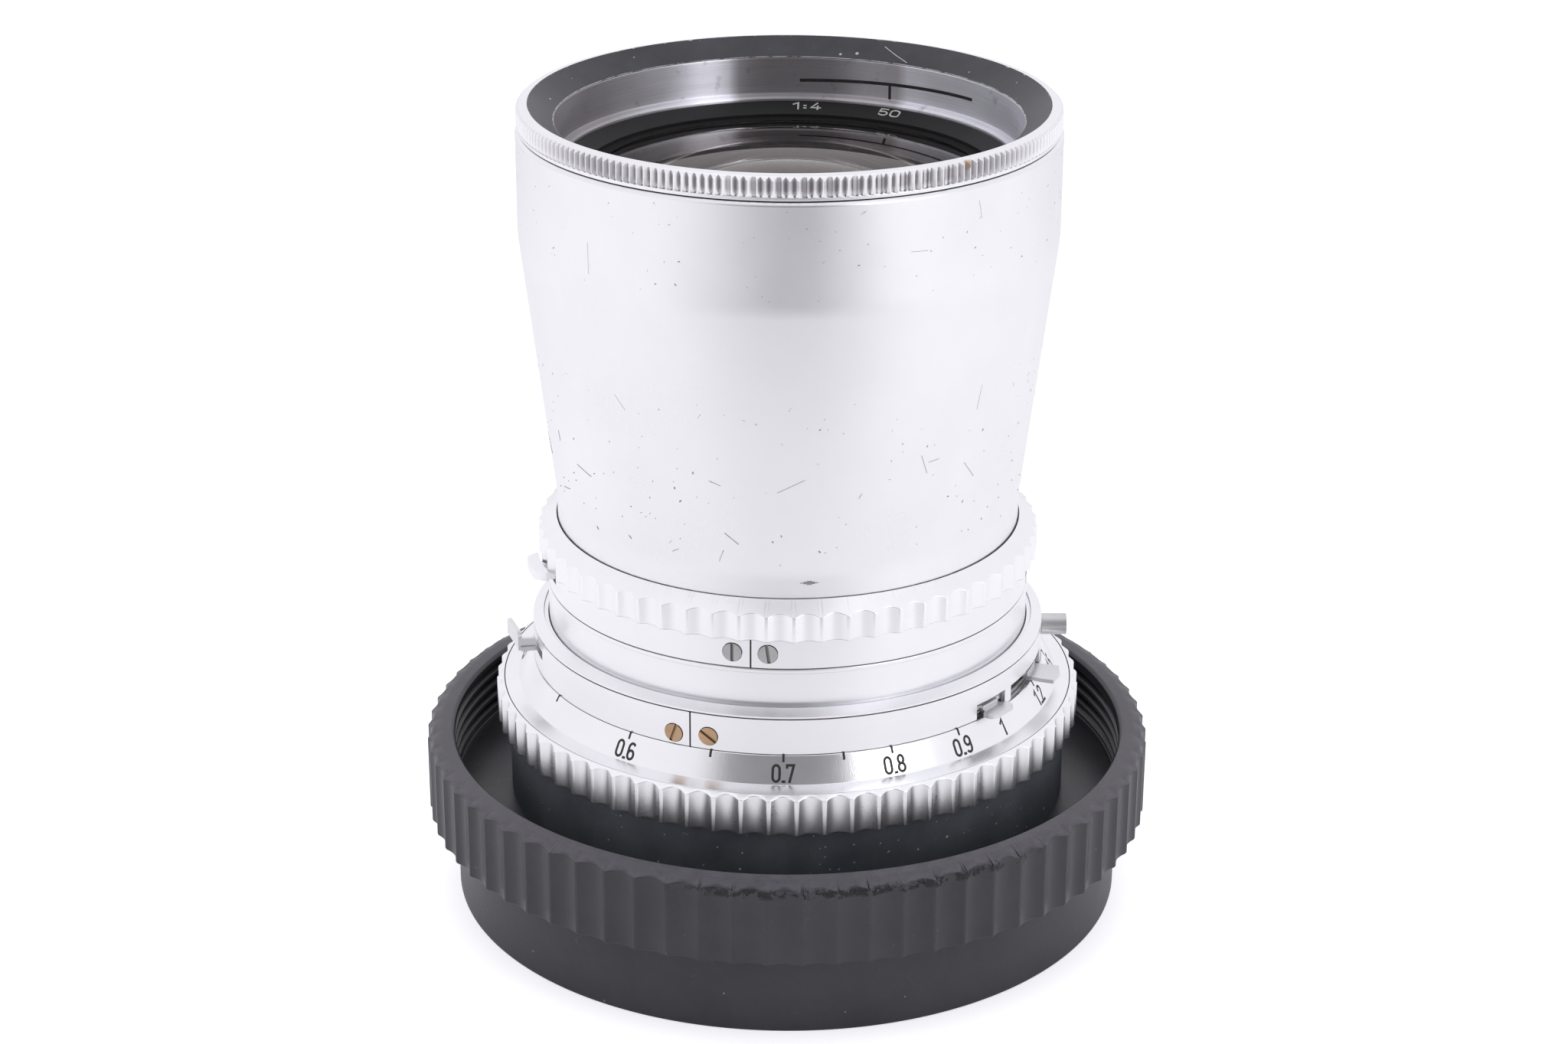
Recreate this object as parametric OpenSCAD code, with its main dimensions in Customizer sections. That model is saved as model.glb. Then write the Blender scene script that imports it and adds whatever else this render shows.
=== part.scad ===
// Wide-angle leaf-shutter camera lens, standing on the base of its storage case.
// Millimetres. +Z is the optical axis towards the front. The origin is the centre of the
// case base's underside. Azimuths are in degrees about +Z, and -90 faces the viewer.

/* [Case base] */
// Outer radius of the smooth foot
foot_r = 52.1; // [51.5:0.1:52.5]
// Height of the foot, where the ribbed band begins
foot_h = 13.4; // [12:0.1:14.5]
// Outer radius over the ribs
rib_r = 56.4; // [56:0.1:57]
// Number of grip ribs
rib_count = 72; // [36:4:96]
// Height of the threaded rim
rim_h = 26.3; // [25:0.1:27]
// Inner radius of the dome thread
dome_thread_r = 52.1; // [51.8:0.1:52.3]
// Pitch of the dome thread
dome_pitch = 2; // [1.8:0.1:2.2]

/* [Focusing] */
// Turn of the focus ring from infinity to 0.5 m, degrees
focus_turn = 237; // [180:1:237]
// Lead of the cam slots, per turn
cam_lead = 12.2; // [11.8:0.1:12.2]
// Outer radius over the flutes of the focus ring
focus_r = 45.3; // [45.2:0.1:45.8]
// Number of flutes on the focus ring
focus_flutes = 70; // [50:1:80]
// Diameter of the three cam follower pins
cam_pin_d = 1.6; // [1.4:0.1:1.6]

/* [Shutter and iris] */
// Outer radius over the flutes of the shutter speed ring
speed_r = 38.3; // [38.1:0.1:38.8]
// Number of flutes on the speed ring
speed_flutes = 60; // [40:1:72]
// Turn of the aperture ring from f/4 to f/22, degrees
aperture_turn = 60; // [50:1:60]
// Turn of one iris blade over that range, degrees
iris_swing = 24; // [20:1:24]
// Turn of the shutter cam ring from open to closed, degrees
shutter_turn = 40; // [36:1:42]
// Turn of one shutter blade over that range, degrees
shutter_swing = 25; // [24:1:26]
// Thickness of a blade
blade_t = 0.12; // [0.1:0.01:0.14]

/* [Barrel] */
// Radius of the barrel at its foot
barrel_foot_r = 35.25; // [35.1:0.05:35.4]
// Radius of the barrel at the front
barrel_r = 40.2; // [39.8:0.1:40.6]
// Outer radius over the knurl of the filter retaining ring
knurl_r = 40.05; // [39.6:0.05:40.4]
// Number of knurl teeth
knurl_teeth = 216; // [120:4:240]
// Radius of the filter well
filter_well_r = 34.5; // [34.4:0.1:34.7]

/* [Hidden] */
$fn = 96;
eps = 0.01;

// Case base
floor_z = 16.5;
floor_t = 3.2;
foot_wall = 2.8;
well_r = 38;
well_z = 4.8;
underside_z = 2.4;
rib_depth = 0.55;
rib_land = 0.1;
rib_start = 2;
rib_edge = 0.15;
dome_thread_depth = 1.1;

// Bayonet between the case base and the lens
socket_r = 43.4;
socket_top = 28.3;
flange_z = 27.4;
flange_t = 1.2;
flange_r = 41.6;
bayonet_r = 33.4;
bayonet_count = 4;
socket_screw_r = 40.5;
lug_r = 36.5;
lug_angle = 30;
lug_z = 22.5;
lug_h = 2.4;
notch_angle = 34;
twist_angle = 60;

// Guide tube and the slide of the front unit
sleeve_r = 36.9;
sleeve_in_r = 35.4;
tube_in_r = 37.0;
tube_r = 37.7;
cam_in_r = 37.8;
cam_r = 38.6;
cam_top = 39.5;
pin_z = 30.3;
pin_count = 3;
pin_azimuth = 75;
focus_travel = cam_lead * focus_turn / 360;
slot_play = 0.075;

// Index ring and the strip wrapped round it
index_r = 39.45;
index_z = 41;
band_in_r = 38.8;
band_z0 = 38.82;
band_z1 = 44.3;
window_top = 41.2;
band_seam = -111;
band_screws = [-114.8, -106.9];
band_screw_slots = [-20, 55];
band_screw_z = [40.55, 40.9];
band_boss = [-118.5, -103.5];
band_boss_z = 39.6;
band_screw_face = 39.6;

// Levers and flash terminal that reach out through the index ring
lever_window = [-50, -6];
lever_z = 39.8;
lever_t = 0.6;
tongue_z = 39.25;
lever_in_r = 37.05;
lever_out_r = 38.74;
step_in_r = 38.63;
step_out_r = 39.2;
sync_azimuth = -39.4;
self_timer_azimuth = -18;
preview_window = [175, 199];
preview_z = 41.75;
terminal_z = 42.1;
terminal_r = 1.65;
terminal_shank_r = 1.4;
terminal_tip_r = 43.4;
pin_hole_r = 0.45;

// Shaft that cocks the shutter from the body
cocking_r = 28.5;
cocking_azimuth = 120;
cocking_shaft_r = 1.9;

// Flutes of the two grip rings
focus_flute_depth = 0.8;
focus_flute_start = 4;
speed_flute_depth = 0.67;
speed_flute_start = 1;
speed_neck_r = 35.45;

// Aperture ring, its strip and the tab that couples it to the speed ring
strip_in_r = 36.42;
strip_r = 36.9;
strip_seam = -98.3;
strip_screws = [-102.5, -94.4];
strip_screw_slots = [0, 8];
strip_screw_z = 53.6;
strip_screw_face = 37.05;
tab_azimuth = 195;
tab_slot = 4.2;
iris_arm_azimuth = 240;

// Shutter case
case_r = 33.5;
case_in_r = 31.5;
case_z = 51.2;
case_top = 59.5;
blade_step = 0.22;

// Iris and shutter blades with their cam rings
iris_pivot_r = 17;
iris_pin_arm = 5;
iris_open_r = 8.5;
iris_band_r = 14.5;
shutter_pivot_r = 25;
shutter_pin_arm = 6;
shutter_open_r = 9.5;
shutter_band_r = 21;
pivot_r = 0.6;
drive_r = 0.6;
cam_slot_play = 0.14;
iris_z = 52.4;
iris_ring_z = 53.7;
divider_z = 54.9;
shutter_z = 55.7;
shutter_ring_z = 57.0;
ring_t = 0.9;

// Front
well_top = 123.3;
well_floor = 117.6;
name_r = 32.9;
name_z = 116.65;
name_step_r = 30.5;
name_step_z = 115.35;
rim_top = 125.93;

// ---------- helpers ----------

// A point at radius r and azimuth a
function polar(r, a) = [r * cos(a), r * sin(a)];

// One point p turned by the angle a
function turned(p, a) = [p[0] * cos(a) - p[1] * sin(a), p[0] * sin(a) + p[1] * cos(a)];

// Radius at a fraction u of one flute: a narrow land, then a hollow arc
function flute_r(u, r, depth, land) =
    u < land ? r : r - depth * (1 - pow(2 * (u - land) / (1 - land) - 1, 2));

// Closed outline with n hollow flutes, each drawn with a land and m points of arc
function fluted(n, r, depth, land, m, start) = [
    for (i = [0:n - 1], j = [-1:m - 1])
        let (u = j < 0 ? 0 : land + (1 - land) * j / m)
        polar(flute_r(u, r, depth, land), start + (i + u) * 360 / n)
];

// Closed outline with n straight-sided teeth
function toothed(n, r, depth, land, start) = [
    for (i = [0:n - 1], j = [0:2])
        polar(j == 2 ? r - depth : r, start + (i + [0, land, (1 + land) / 2][j]) * 360 / n)
];

// Sector of a ring, from azimuth a0 to a1
module sector(r0, r1, a0, a1, steps = 12) {
    polygon(concat(
        [for (i = [0:steps]) polar(r0, a0 + (a1 - a0) * i / steps)],
        [for (i = [steps:-1:0]) polar(r1, a0 + (a1 - a0) * i / steps)]
    ));
}

// A true ring segment: a turned profile kept between two azimuths
module ring_segment(r0, r1, z0, z1, a0, a1) {
    intersection() {
        ring(r0, r1, z0, z1);
        translate([0, 0, z0 - 1])
            linear_extrude(z1 - z0 + 2)
                sector(r0 * 0.9, r1 * 1.2, a0, a1);
    }
}

module ring(r0, r1, z0, z1) {
    rotate_extrude()
        polygon([[r0, z0], [r1, z0], [r1, z1], [r0, z1]]);
}

// A radial cylinder from radius r0 to r1 at an azimuth and height
module radial_pin(r, r0, r1, azimuth, z) {
    rotate([0, 0, azimuth])
        translate([r0, 0, z])
            rotate([0, 90, 0])
                cylinder(r = r, h = r1 - r0, $fn = 48);
}

// A block along the radius at an azimuth, centred across it
module radial_block(r0, r1, width, z0, z1, azimuth) {
    rotate([0, 0, azimuth])
        translate([r0, -width / 2, z0])
            cube([r1 - r0, width, z1 - z0]);
}

// A slotted cheese-head screw set radially; the slot turns by slot_angle
module radial_screw(r_face, head_r, head_t, shank_r, shank_l, azimuth, z, slot_angle) {
    rotate([0, 0, azimuth])
        translate([r_face, 0, z])
            rotate([0, 90, 0])
                difference() {
                    union() {
                        translate([0, 0, -head_t])
                            cylinder(r = head_r, h = head_t, $fn = 48);
                        translate([0, 0, -head_t - shank_l])
                            cylinder(r = shank_r, h = shank_l + eps, $fn = 32);
                    }
                    rotate([0, 0, slot_angle])
                        translate([-head_r - 1, -0.22, -0.35])
                            cube([2 * head_r + 2, 0.44, 1]);
                }
}

// One glass element. Positive radii bulge outwards, negative radii are hollow.
// Front and back name the two faces, and z_front is the front vertex.
module lens_element(edge_r, z_front, thick, front_r, back_r, z_low, z_high) {
    z_back = z_front - thick;
    $fn = 300;
    difference() {
        intersection() {
            translate([0, 0, z_low])
                cylinder(r = edge_r, h = z_high - z_low);
            if (front_r > 0)
                translate([0, 0, z_front - front_r])
                    sphere(r = front_r);
            if (back_r > 0)
                translate([0, 0, z_back + back_r])
                    sphere(r = back_r);
        }
        if (front_r < 0)
            translate([0, 0, z_front - front_r])
                sphere(r = -front_r);
        if (back_r < 0)
            translate([0, 0, z_back + back_r])
                sphere(r = -back_r);
    }
}

// ---------- case base and bayonet socket ----------

module case_base() {
    turns = floor((rim_h - floor_z - 2) / dome_pitch);
    color([0.16, 0.16, 0.17])
        difference() {
            union() {
                rotate_extrude()
                    polygon([
                        [0, underside_z], [well_r + 2, underside_z], [well_r + 2, floor_z - floor_t],
                        [foot_r - foot_wall, floor_z - floor_t], [foot_r - foot_wall, 0],
                        [foot_r - 0.4, 0], [foot_r, 0.4], [foot_r, foot_h], [rib_r - 2.2, foot_h],
                        [rib_r - 2.2, rim_h - 0.4], [rib_r - 2.6, rim_h],
                        [dome_thread_r, rim_h], [dome_thread_r, floor_z], [0, floor_z]
                    ]);
                intersection() {
                    translate([0, 0, foot_h])
                        linear_extrude(rim_h - foot_h)
                            polygon(fluted(rib_count, rib_r, rib_depth, rib_land, 5, rib_start));
                    rotate_extrude()
                        polygon([
                            [rib_r - 3, foot_h], [rib_r - rib_edge, foot_h],
                            [rib_r + rib_edge, foot_h + 2 * rib_edge],
                            [rib_r + rib_edge, rim_h - 1.05], [rib_r - 0.9, rim_h], [rib_r - 3, rim_h]
                        ]);
                }
            }
            // Well that takes the rear of the lens
            translate([0, 0, well_z])
                cylinder(r = well_r, h = rim_h);
            // Thread for the clear dome, as rings one pitch apart
            for (k = [0:turns])
                rotate_extrude()
                    translate([dome_thread_r - eps, floor_z + 1.2 + k * dome_pitch])
                        polygon([
                            [0, 0], [dome_thread_depth, 0.45 * dome_pitch],
                            [dome_thread_depth, 0.6 * dome_pitch], [0, 0.85 * dome_pitch]
                        ]);
            for (k = [0:bayonet_count - 1])
                rotate([0, 0, 45 + k * 90])
                    translate([socket_screw_r, 0, floor_z - 3])
                        cylinder(r = 0.8, h = 5, $fn = 32);
        }
}

module bayonet_socket() {
    lip_z = lug_z + lug_h + 0.1;
    color([0.09, 0.1, 0.11])
        difference() {
            rotate_extrude()
                polygon([
                    [lug_r + 0.7, floor_z], [socket_r, floor_z], [socket_r, socket_top - 0.2],
                    [socket_r - 0.2, socket_top], [flange_r + 0.3, socket_top],
                    [flange_r + 0.3, flange_z], [bayonet_r + 0.2, flange_z],
                    [bayonet_r + 0.2, lip_z], [lug_r + 0.7, lip_z]
                ]);
            // Entry notches in the lip for the four lugs
            for (k = [0:bayonet_count - 1])
                translate([0, 0, lip_z - 1])
                    linear_extrude(flange_z - lip_z + 2)
                        sector(bayonet_r - 1, lug_r + 0.3,
                               k * 90 + twist_angle - notch_angle / 2,
                               k * 90 + twist_angle + notch_angle / 2);
            for (k = [0:bayonet_count - 1])
                rotate([0, 0, 45 + k * 90])
                    translate([socket_screw_r, 0, floor_z - 1]) {
                        cylinder(r = 0.85, h = 12, $fn = 32);
                        translate([0, 0, 7.9])
                            cylinder(r = 1.75, h = 6, $fn = 32);
                    }
        }
}

module socket_screws() {
    color([0.55, 0.55, 0.56])
        for (k = [0:bayonet_count - 1])
            rotate([0, 0, 45 + k * 90])
                translate([socket_screw_r, 0, 0])
                    difference() {
                        union() {
                            translate([0, 0, 14.5])
                                cylinder(r = 0.75, h = 9, $fn = 32);
                            translate([0, 0, floor_z + 6.95])
                                cylinder(r = 1.6, h = 1.6, $fn = 32);
                        }
                        translate([-2, -0.25, floor_z + 8.05])
                            cube([4, 0.5, 2]);
                    }
}

// ---------- fixed part of the lens ----------

module mount_plate() {
    color("silver")
        difference() {
            union() {
                rotate_extrude()
                    polygon([
                        [25, flange_z - 1.4], [31, flange_z - 1.4], [31, 21.6], [bayonet_r - 0.4, 21.6],
                        [bayonet_r, 22], [bayonet_r, flange_z], [flange_r, flange_z],
                        [flange_r, flange_z + flange_t], [25, flange_z + flange_t]
                    ]);
                for (k = [0:bayonet_count - 1])
                    ring_segment(bayonet_r - 0.5, lug_r, lug_z, lug_z + lug_h,
                                 k * 90 - lug_angle / 2, k * 90 + lug_angle / 2);
            }
            rotate([0, 0, cocking_azimuth])
                translate([cocking_r, 0, 20])
                    cylinder(r = cocking_shaft_r + 0.05, h = 20, $fn = 48);
        }
}

module guide_tube() {
    color("silver")
        difference() {
            rotate_extrude()
                polygon([
                    [tube_in_r, flange_z + flange_t], [tube_r, flange_z + flange_t], [tube_r, 45.2],
                    [tube_in_r + 0.12, 45.2], [tube_in_r, 44.95]
                ]);
            for (k = [0:pin_count - 1])
                radial_block(tube_in_r - 2, tube_r + 2, cam_pin_d + 2 * slot_play,
                             pin_z - cam_pin_d / 2 - 0.2,
                             pin_z + focus_travel + cam_pin_d / 2 + 0.2, pin_azimuth + k * 120);
            ring_segment(tube_in_r - 1, tube_r + 1, 39.65, 40.9, lever_window[0], lever_window[1]);
            ring_segment(tube_in_r - 1, tube_r + 1, 41.5, 42.7, preview_window[0], preview_window[1]);
            radial_pin(1.75, tube_in_r - 1, tube_r + 1, 0, terminal_z);
        }
}

module index_ring() {
    color([0.86, 0.86, 0.87])
        difference() {
            union() {
                rotate_extrude()
                    polygon([
                        [37.75, index_z], [38.75, index_z], [38.75, 44.4], [index_r - 0.15, 44.4],
                        [index_r, 44.5], [index_r, 44.78], [37.8, 45.54], [37.75, 45.4]
                    ]);
                ring_segment(37.75, 38.75, band_boss_z, index_z + eps, band_boss[0], band_boss[1]);
            }
            ring_segment(37, 40, 41.4, 42.8, preview_window[0], preview_window[1]);
            radial_pin(terminal_r + 0.05, 37, 41, 0, terminal_z);
            for (k = [0:1])
                radial_pin(0.65, 37, 40, band_screws[k], band_screw_z[k]);
        }
}

// Thin strip wrapped round the index ring; its two ends meet at the seam
module depth_scale_band() {
    color([0.88, 0.88, 0.89])
        difference() {
            ring(band_in_r, index_r, band_z0, band_z1);
            radial_block(38, 40, 0.25, band_z0 - 1, band_z1 + 1, band_seam);
            ring_segment(38, 40, band_z0 - 1, window_top, -44.5, -34.3);
            ring_segment(38, 40, band_z0 - 1, window_top, -31.6, -10.5);
            ring_segment(38, 40, 41.4, 42.8, preview_window[0], preview_window[1]);
            radial_pin(terminal_r + 0.05, 37, 41, 0, terminal_z);
            for (k = [0:1])
                radial_pin(1.5, 37, 41, band_screws[k], band_screw_z[k]);
        }
}

module depth_band_screws() {
    color([0.72, 0.58, 0.38])
        for (k = [0:1])
            radial_screw(band_screw_face, 1.4, 0.75, 0.6, 0.95, band_screws[k], band_screw_z[k],
                         band_screw_slots[k]);
}

module terminal_sleeve() {
    color([0.7, 0.7, 0.7])
        difference() {
            union() {
                radial_pin(terminal_shank_r, 37.8, 39.6, 0, terminal_z);
                radial_pin(terminal_r, 39.5, terminal_tip_r, 0, terminal_z);
            }
            radial_pin(1.2, 38.8, 44, 0, terminal_z);
            radial_pin(pin_hole_r, 37, 44, 0, terminal_z);
        }
}

module terminal_insulator() {
    color([0.1, 0.1, 0.1])
        difference() {
            radial_pin(1.19, 38.82, 41.6, 0, terminal_z);
            radial_pin(pin_hole_r, 37, 44, 0, terminal_z);
        }
}

module terminal_pin() {
    color([0.72, 0.58, 0.38])
        radial_pin(pin_hole_r - 0.02, 37.9, 42.6, 0, terminal_z);
}

// An upright plate from plan point p to plan point q, its two upper corners rounded
module upright_plate(p, q, t, z, h, corner) {
    run = q - p;
    length = norm(run);
    steps = 6;
    translate([p[0], p[1], z])
        rotate([0, 0, atan2(run[1], run[0])])
            rotate([90, 0, 0])
                linear_extrude(t)
                    polygon(concat(
                        [[0, 0], [length, 0]],
                        [for (i = [0:steps]) [length - corner, h - corner] + polar(corner, 90 * i / steps)],
                        [for (i = [0:steps]) [corner, h - corner] + polar(corner, 90 + 90 * i / steps)]
                    ));
}

// Bent strip: an arm through the window, a web and a finger pad folded back from it
module preview_lever() {
    bend = polar(42.35, 193.7);
    color([0.8, 0.8, 0.82])
        union() {
            ring_segment(lever_in_r, 42, preview_z, preview_z + 0.7, 191, 194.4);
            upright_plate(polar(39.7, 194.2), bend, 0.6, preview_z, 1.95, 0.3);
            upright_plate(bend, polar(43.5, 185.2), 0.6, preview_z + 0.25, 2.75, 0.9);
        }
}

// Inner arc of a lever and its step down to the part that reaches out
module lever_root(azimuth, half_angle, half_step) {
    ring_segment(lever_in_r, lever_out_r, lever_z, lever_z + lever_t,
                 azimuth - half_angle, azimuth + half_angle);
    ring_segment(step_in_r, step_out_r, tongue_z, lever_z + lever_t,
                 azimuth - half_step, azimuth + half_step);
}

// Outline of a tongue: a narrow neck, then a wider tip with two rounded corners
module tongue(r0, r1, neck, width, corner) {
    steps = 8;
    polygon(concat(
        [[r0, neck / 2], [r0, -neck / 2], [r0 + 0.7, -neck / 2], [r0 + 1.1, -width / 2]],
        [for (i = [0:steps])
            [r1 - corner, corner - width / 2] + polar(corner, -90 + 90 * i / steps)],
        [for (i = [0:steps])
            [r1 - corner, width / 2 - corner] + polar(corner, 90 * i / steps)],
        [[r0 + 1.1, width / 2], [r0 + 0.7, neck / 2]]
    ));
}

module sync_lever() {
    color([0.82, 0.82, 0.83])
        union() {
            lever_root(sync_azimuth, 4.5, 2.7);
            rotate([0, 0, sync_azimuth])
                translate([0, 0, tongue_z])
                    linear_extrude(lever_t)
                        tongue(38.9, 41.9, 3.9, 5.6, 1.1);
        }
}

module self_timer_lever() {
    color([0.78, 0.78, 0.8])
        union() {
            lever_root(self_timer_azimuth, 4.5, 3.4);
            rotate([0, 0, self_timer_azimuth])
                translate([0, 0, tongue_z])
                    linear_extrude(lever_t)
                        polygon([
                            [38.9, -2.5], [41.4, -2.7], [43.3, -2.7], [43.6, 0.2],
                            [42.8, 2.7], [38.9, 2.5]
                        ]);
        }
}

module cocking_shaft() {
    color([0.6, 0.6, 0.62])
        rotate([0, 0, cocking_azimuth])
            translate([cocking_r, 0, 0])
                difference() {
                    union() {
                        translate([0, 0, 25.2])
                            cylinder(r = cocking_shaft_r, h = 4.2, $fn = 48);
                        translate([0, 0, 28.8])
                            cylinder(r = 2.6, h = 1.2, $fn = 48);
                        translate([-0.9, -0.9, 29])
                            cube([1.8, 1.8, 9.5]);
                    }
                    translate([-0.35, -3, 24])
                        cube([0.7, 6, 2.2]);
                }
}

module mainspring() {
    color([0.5, 0.5, 0.53])
        rotate([0, 0, cocking_azimuth])
            translate([cocking_r, 0, 0])
                for (k = [0:6])
                    translate([0, 0, 30.5 + k * 0.85])
                        rotate_extrude()
                            translate([2.4, 0])
                                circle(r = 0.3, $fn = 24);
}

// ---------- focusing ----------

module focus_ring() {
    color([0.85, 0.85, 0.86])
        intersection() {
            rotate_extrude()
                polygon([
                    [cam_r, 28.8], [41.8, 28.8], [41.8, 28.5], [focus_r - 0.25, 28.5],
                    [focus_r + 0.1, 28.85], [focus_r + 0.1, 34.15], [44.1, 34.72],
                    [44.1, 33.15], [cam_r, 33.15]
                ]);
            translate([0, 0, 28])
                linear_extrude(8)
                    polygon(fluted(focus_flutes, focus_r, focus_flute_depth, 0.14, 7, focus_flute_start));
        }
}

module distance_scale_ring() {
    color([0.88, 0.88, 0.89])
        rotate_extrude()
            polygon([
                [cam_r + 0.02, 33.2], [44.05, 33.2], [44.05, 34.7], [41.8, 35.05],
                [39.65, 38.75], [cam_r + 0.02, 38.75]
            ]);
}

// Cam tube with three helical slots, one for each follower pin
module focus_cam() {
    slot_h = focus_travel + cam_pin_d + 0.3;
    slot_angle = 360 * (cam_pin_d + 2 * slot_play) / cam_lead;
    slot_z = pin_z - (cam_pin_d + 0.3) / 2;
    color([0.72, 0.6, 0.36])
        difference() {
            ring(cam_in_r, cam_r, 28.8, cam_top);
            for (k = [0:pin_count - 1])
                translate([0, 0, slot_z])
                    rotate([0, 0, pin_azimuth + k * 120 + 360 * (pin_z - slot_z) / cam_lead])
                        linear_extrude(slot_h, twist = 360 * slot_h / cam_lead, slices = 60, segments = 8)
                            sector(cam_in_r - 2, cam_r + 2, -slot_angle / 2, slot_angle / 2, 3);
        }
}

// ---------- front unit: sleeve, rings ----------

module slide_sleeve() {
    color([0.87, 0.87, 0.88])
        difference() {
            rotate_extrude()
                polygon([
                    [sleeve_in_r, 29.3], [sleeve_r, 29.3], [sleeve_r, 50.55], [37.1, 50.6],
                    [37.1, 51.1], [36.9, 51.2], [24.4, 51.2], [24.4, 48.4], [sleeve_in_r, 46.5]
                ]);
            for (k = [0:pin_count - 1])
                radial_pin(cam_pin_d / 2, 33, 40, pin_azimuth + k * 120, pin_z);
        }
}

module cam_pins() {
    color([0.7, 0.7, 0.7])
        for (k = [0:pin_count - 1])
            radial_pin(cam_pin_d / 2 - 0.005, sleeve_in_r - 0.4, 38.5, pin_azimuth + k * 120, pin_z);
}

module aperture_ring() {
    color([0.84, 0.84, 0.85])
        difference() {
            ring(case_r + 0.08, 36.4, 51.3, 55.85);
            // Pocket for the drive arm of the iris cam ring
            radial_block(33, 34.3, 4.2, 53.5, 54.8, iris_arm_azimuth);
            // Guide slot of the coupling tab
            radial_block(35, 37, tab_slot, 53.4, 56, tab_azimuth);
            for (a = strip_screws)
                radial_pin(0.65, 34.4, 38, a, strip_screw_z);
        }
}

module aperture_band() {
    color([0.88, 0.88, 0.89])
        difference() {
            ring(strip_in_r, strip_r, 51.35, 55.85);
            radial_block(36, 38, 0.25, 51, 56, strip_seam);
            radial_block(36, 38, tab_slot, 53.4, 56, tab_azimuth);
            for (a = strip_screws)
                radial_pin(1.5, 36, 38, a, strip_screw_z);
        }
}

module aperture_band_screws() {
    color([0.75, 0.73, 0.7])
        for (k = [0:1])
            radial_screw(strip_screw_face, 1.4, 0.62, 0.6, 1.5, strip_screws[k], strip_screw_z,
                         strip_screw_slots[k]);
}

// Rounded tab that couples the aperture and speed rings
module coupling_tab() {
    color([0.82, 0.82, 0.84])
        union() {
            radial_block(35.2, 38.9, 4, 54.35, 55.75, tab_azimuth);
            intersection() {
                ring(38.5, 40.4, 54.95, 56.4);
                rotate([0, 0, tab_azimuth])
                    translate([36.9, 0, 54])
                        cylinder(r = 4.4, h = 4);
                ring_segment(38.4, 41, 54, 57, tab_azimuth - 6, tab_azimuth + 6);
            }
        }
}

module speed_ring() {
    color([0.87, 0.87, 0.88])
        intersection() {
            rotate_extrude()
                polygon([
                    [case_r + 0.08, 56], [speed_r - 0.2, 56], [speed_r + 0.1, 56.3],
                    [speed_r + 0.1, 59.84], [speed_neck_r, 61.72], [speed_neck_r, 59.3],
                    [case_r + 0.08, 59.3]
                ]);
            translate([0, 0, 55])
                linear_extrude(8)
                    polygon(fluted(speed_flutes, speed_r, speed_flute_depth, 0.12, 7, speed_flute_start));
        }
}

// ---------- shutter and iris ----------

module shutter_case() {
    color([0.12, 0.12, 0.13])
        difference() {
            union() {
                difference() {
                    ring(12.5, case_r, case_z, case_top);
                    translate([0, 0, case_z + 1])
                        cylinder(r = case_in_r, h = 20);
                }
                ring(30, case_in_r + 0.5, case_z + 0.5, divider_z - 0.01);
                for (i = [0:4])
                    rotate([0, 0, 72 * i])
                        translate([iris_pivot_r, 0, case_z + 0.5])
                            cylinder(r = pivot_r, h = 1.75, $fn = 32);
            }
            // Slot through which the aperture ring turns the iris cam ring
            ring_segment(29, case_r + 1, 53.5, 54.8,
                         iris_arm_azimuth - 4, iris_arm_azimuth + aperture_turn + 4);
        }
}

// Blade with a curved wing, an ear round its pivot and a drive pin.
// The wing's hollow edge is centred on the axis while the blade is open.
module blade(pivot, arm, r_open, r_band, span, z, pin_top) {
    difference() {
        union() {
            translate([0, 0, z])
                linear_extrude(blade_t)
                    union() {
                        sector(r_open, r_band, 4, span, 40);
                        translate([pivot, 0])
                            circle(r = 2.1, $fn = 48);
                        translate([pivot, arm])
                            circle(r = 1.5, $fn = 48);
                        polygon([
                            [pivot + 2.08, 0], [pivot + 1.48, arm], [pivot - 1.6, arm],
                            polar(r_band, 32), polar(r_band - 2, 22), polar(r_band - 3, 8),
                            [pivot - 0.6, -2]
                        ]);
                    }
            translate([pivot, arm, z + blade_t / 2])
                cylinder(r = drive_r, h = pin_top - z - blade_t / 2, $fn = 32);
        }
        translate([pivot, 0, z - 1])
            cylinder(r = pivot_r + 0.06, h = 3, $fn = 32);
    }
}

// Centre of a blade's drive pin, seen from its cam ring, at a fraction t of the ring's turn
function cam_point(t, pivot, arm, swing, turn) =
    turned([pivot, 0] + turned([0, arm], swing * t), -turn * t);

// Slot outline along the drive pin's path
module cam_slot(pivot, arm, swing, turn, play) {
    n = 24;
    path = [for (i = [0:n]) cam_point(-0.05 + 1.1 * i / n, pivot, arm, swing, turn)];
    w = drive_r + play;
    side = [for (i = [0:n])
        let (d = path[min(i + 1, n)] - path[max(i - 1, 0)])
        [-d[1], d[0]] * w / norm(d)];
    polygon(concat([for (i = [0:n]) path[i] + side[i]], [for (i = [n:-1:0]) path[i] - side[i]]));
}

module iris_blade(i) {
    color([0.15, 0.15, 0.16])
        rotate([0, 0, 72 * i])
            blade(iris_pivot_r, iris_pin_arm, iris_open_r, iris_band_r, 125,
                  iris_z + blade_step * i, iris_ring_z + ring_t);
}

module iris_cam_ring() {
    color([0.45, 0.42, 0.35])
        union() {
            translate([0, 0, iris_ring_z])
                linear_extrude(ring_t)
                    difference() {
                        circle(r = 22);
                        circle(r = 13.4);
                        for (i = [0:4])
                            rotate([0, 0, 72 * i])
                                cam_slot(iris_pivot_r, iris_pin_arm, iris_swing, aperture_turn,
                                         cam_slot_play);
                    }
            radial_block(21.5, 34.1, 3.6, iris_ring_z, iris_ring_z + ring_t, iris_arm_azimuth);
        }
}

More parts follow.
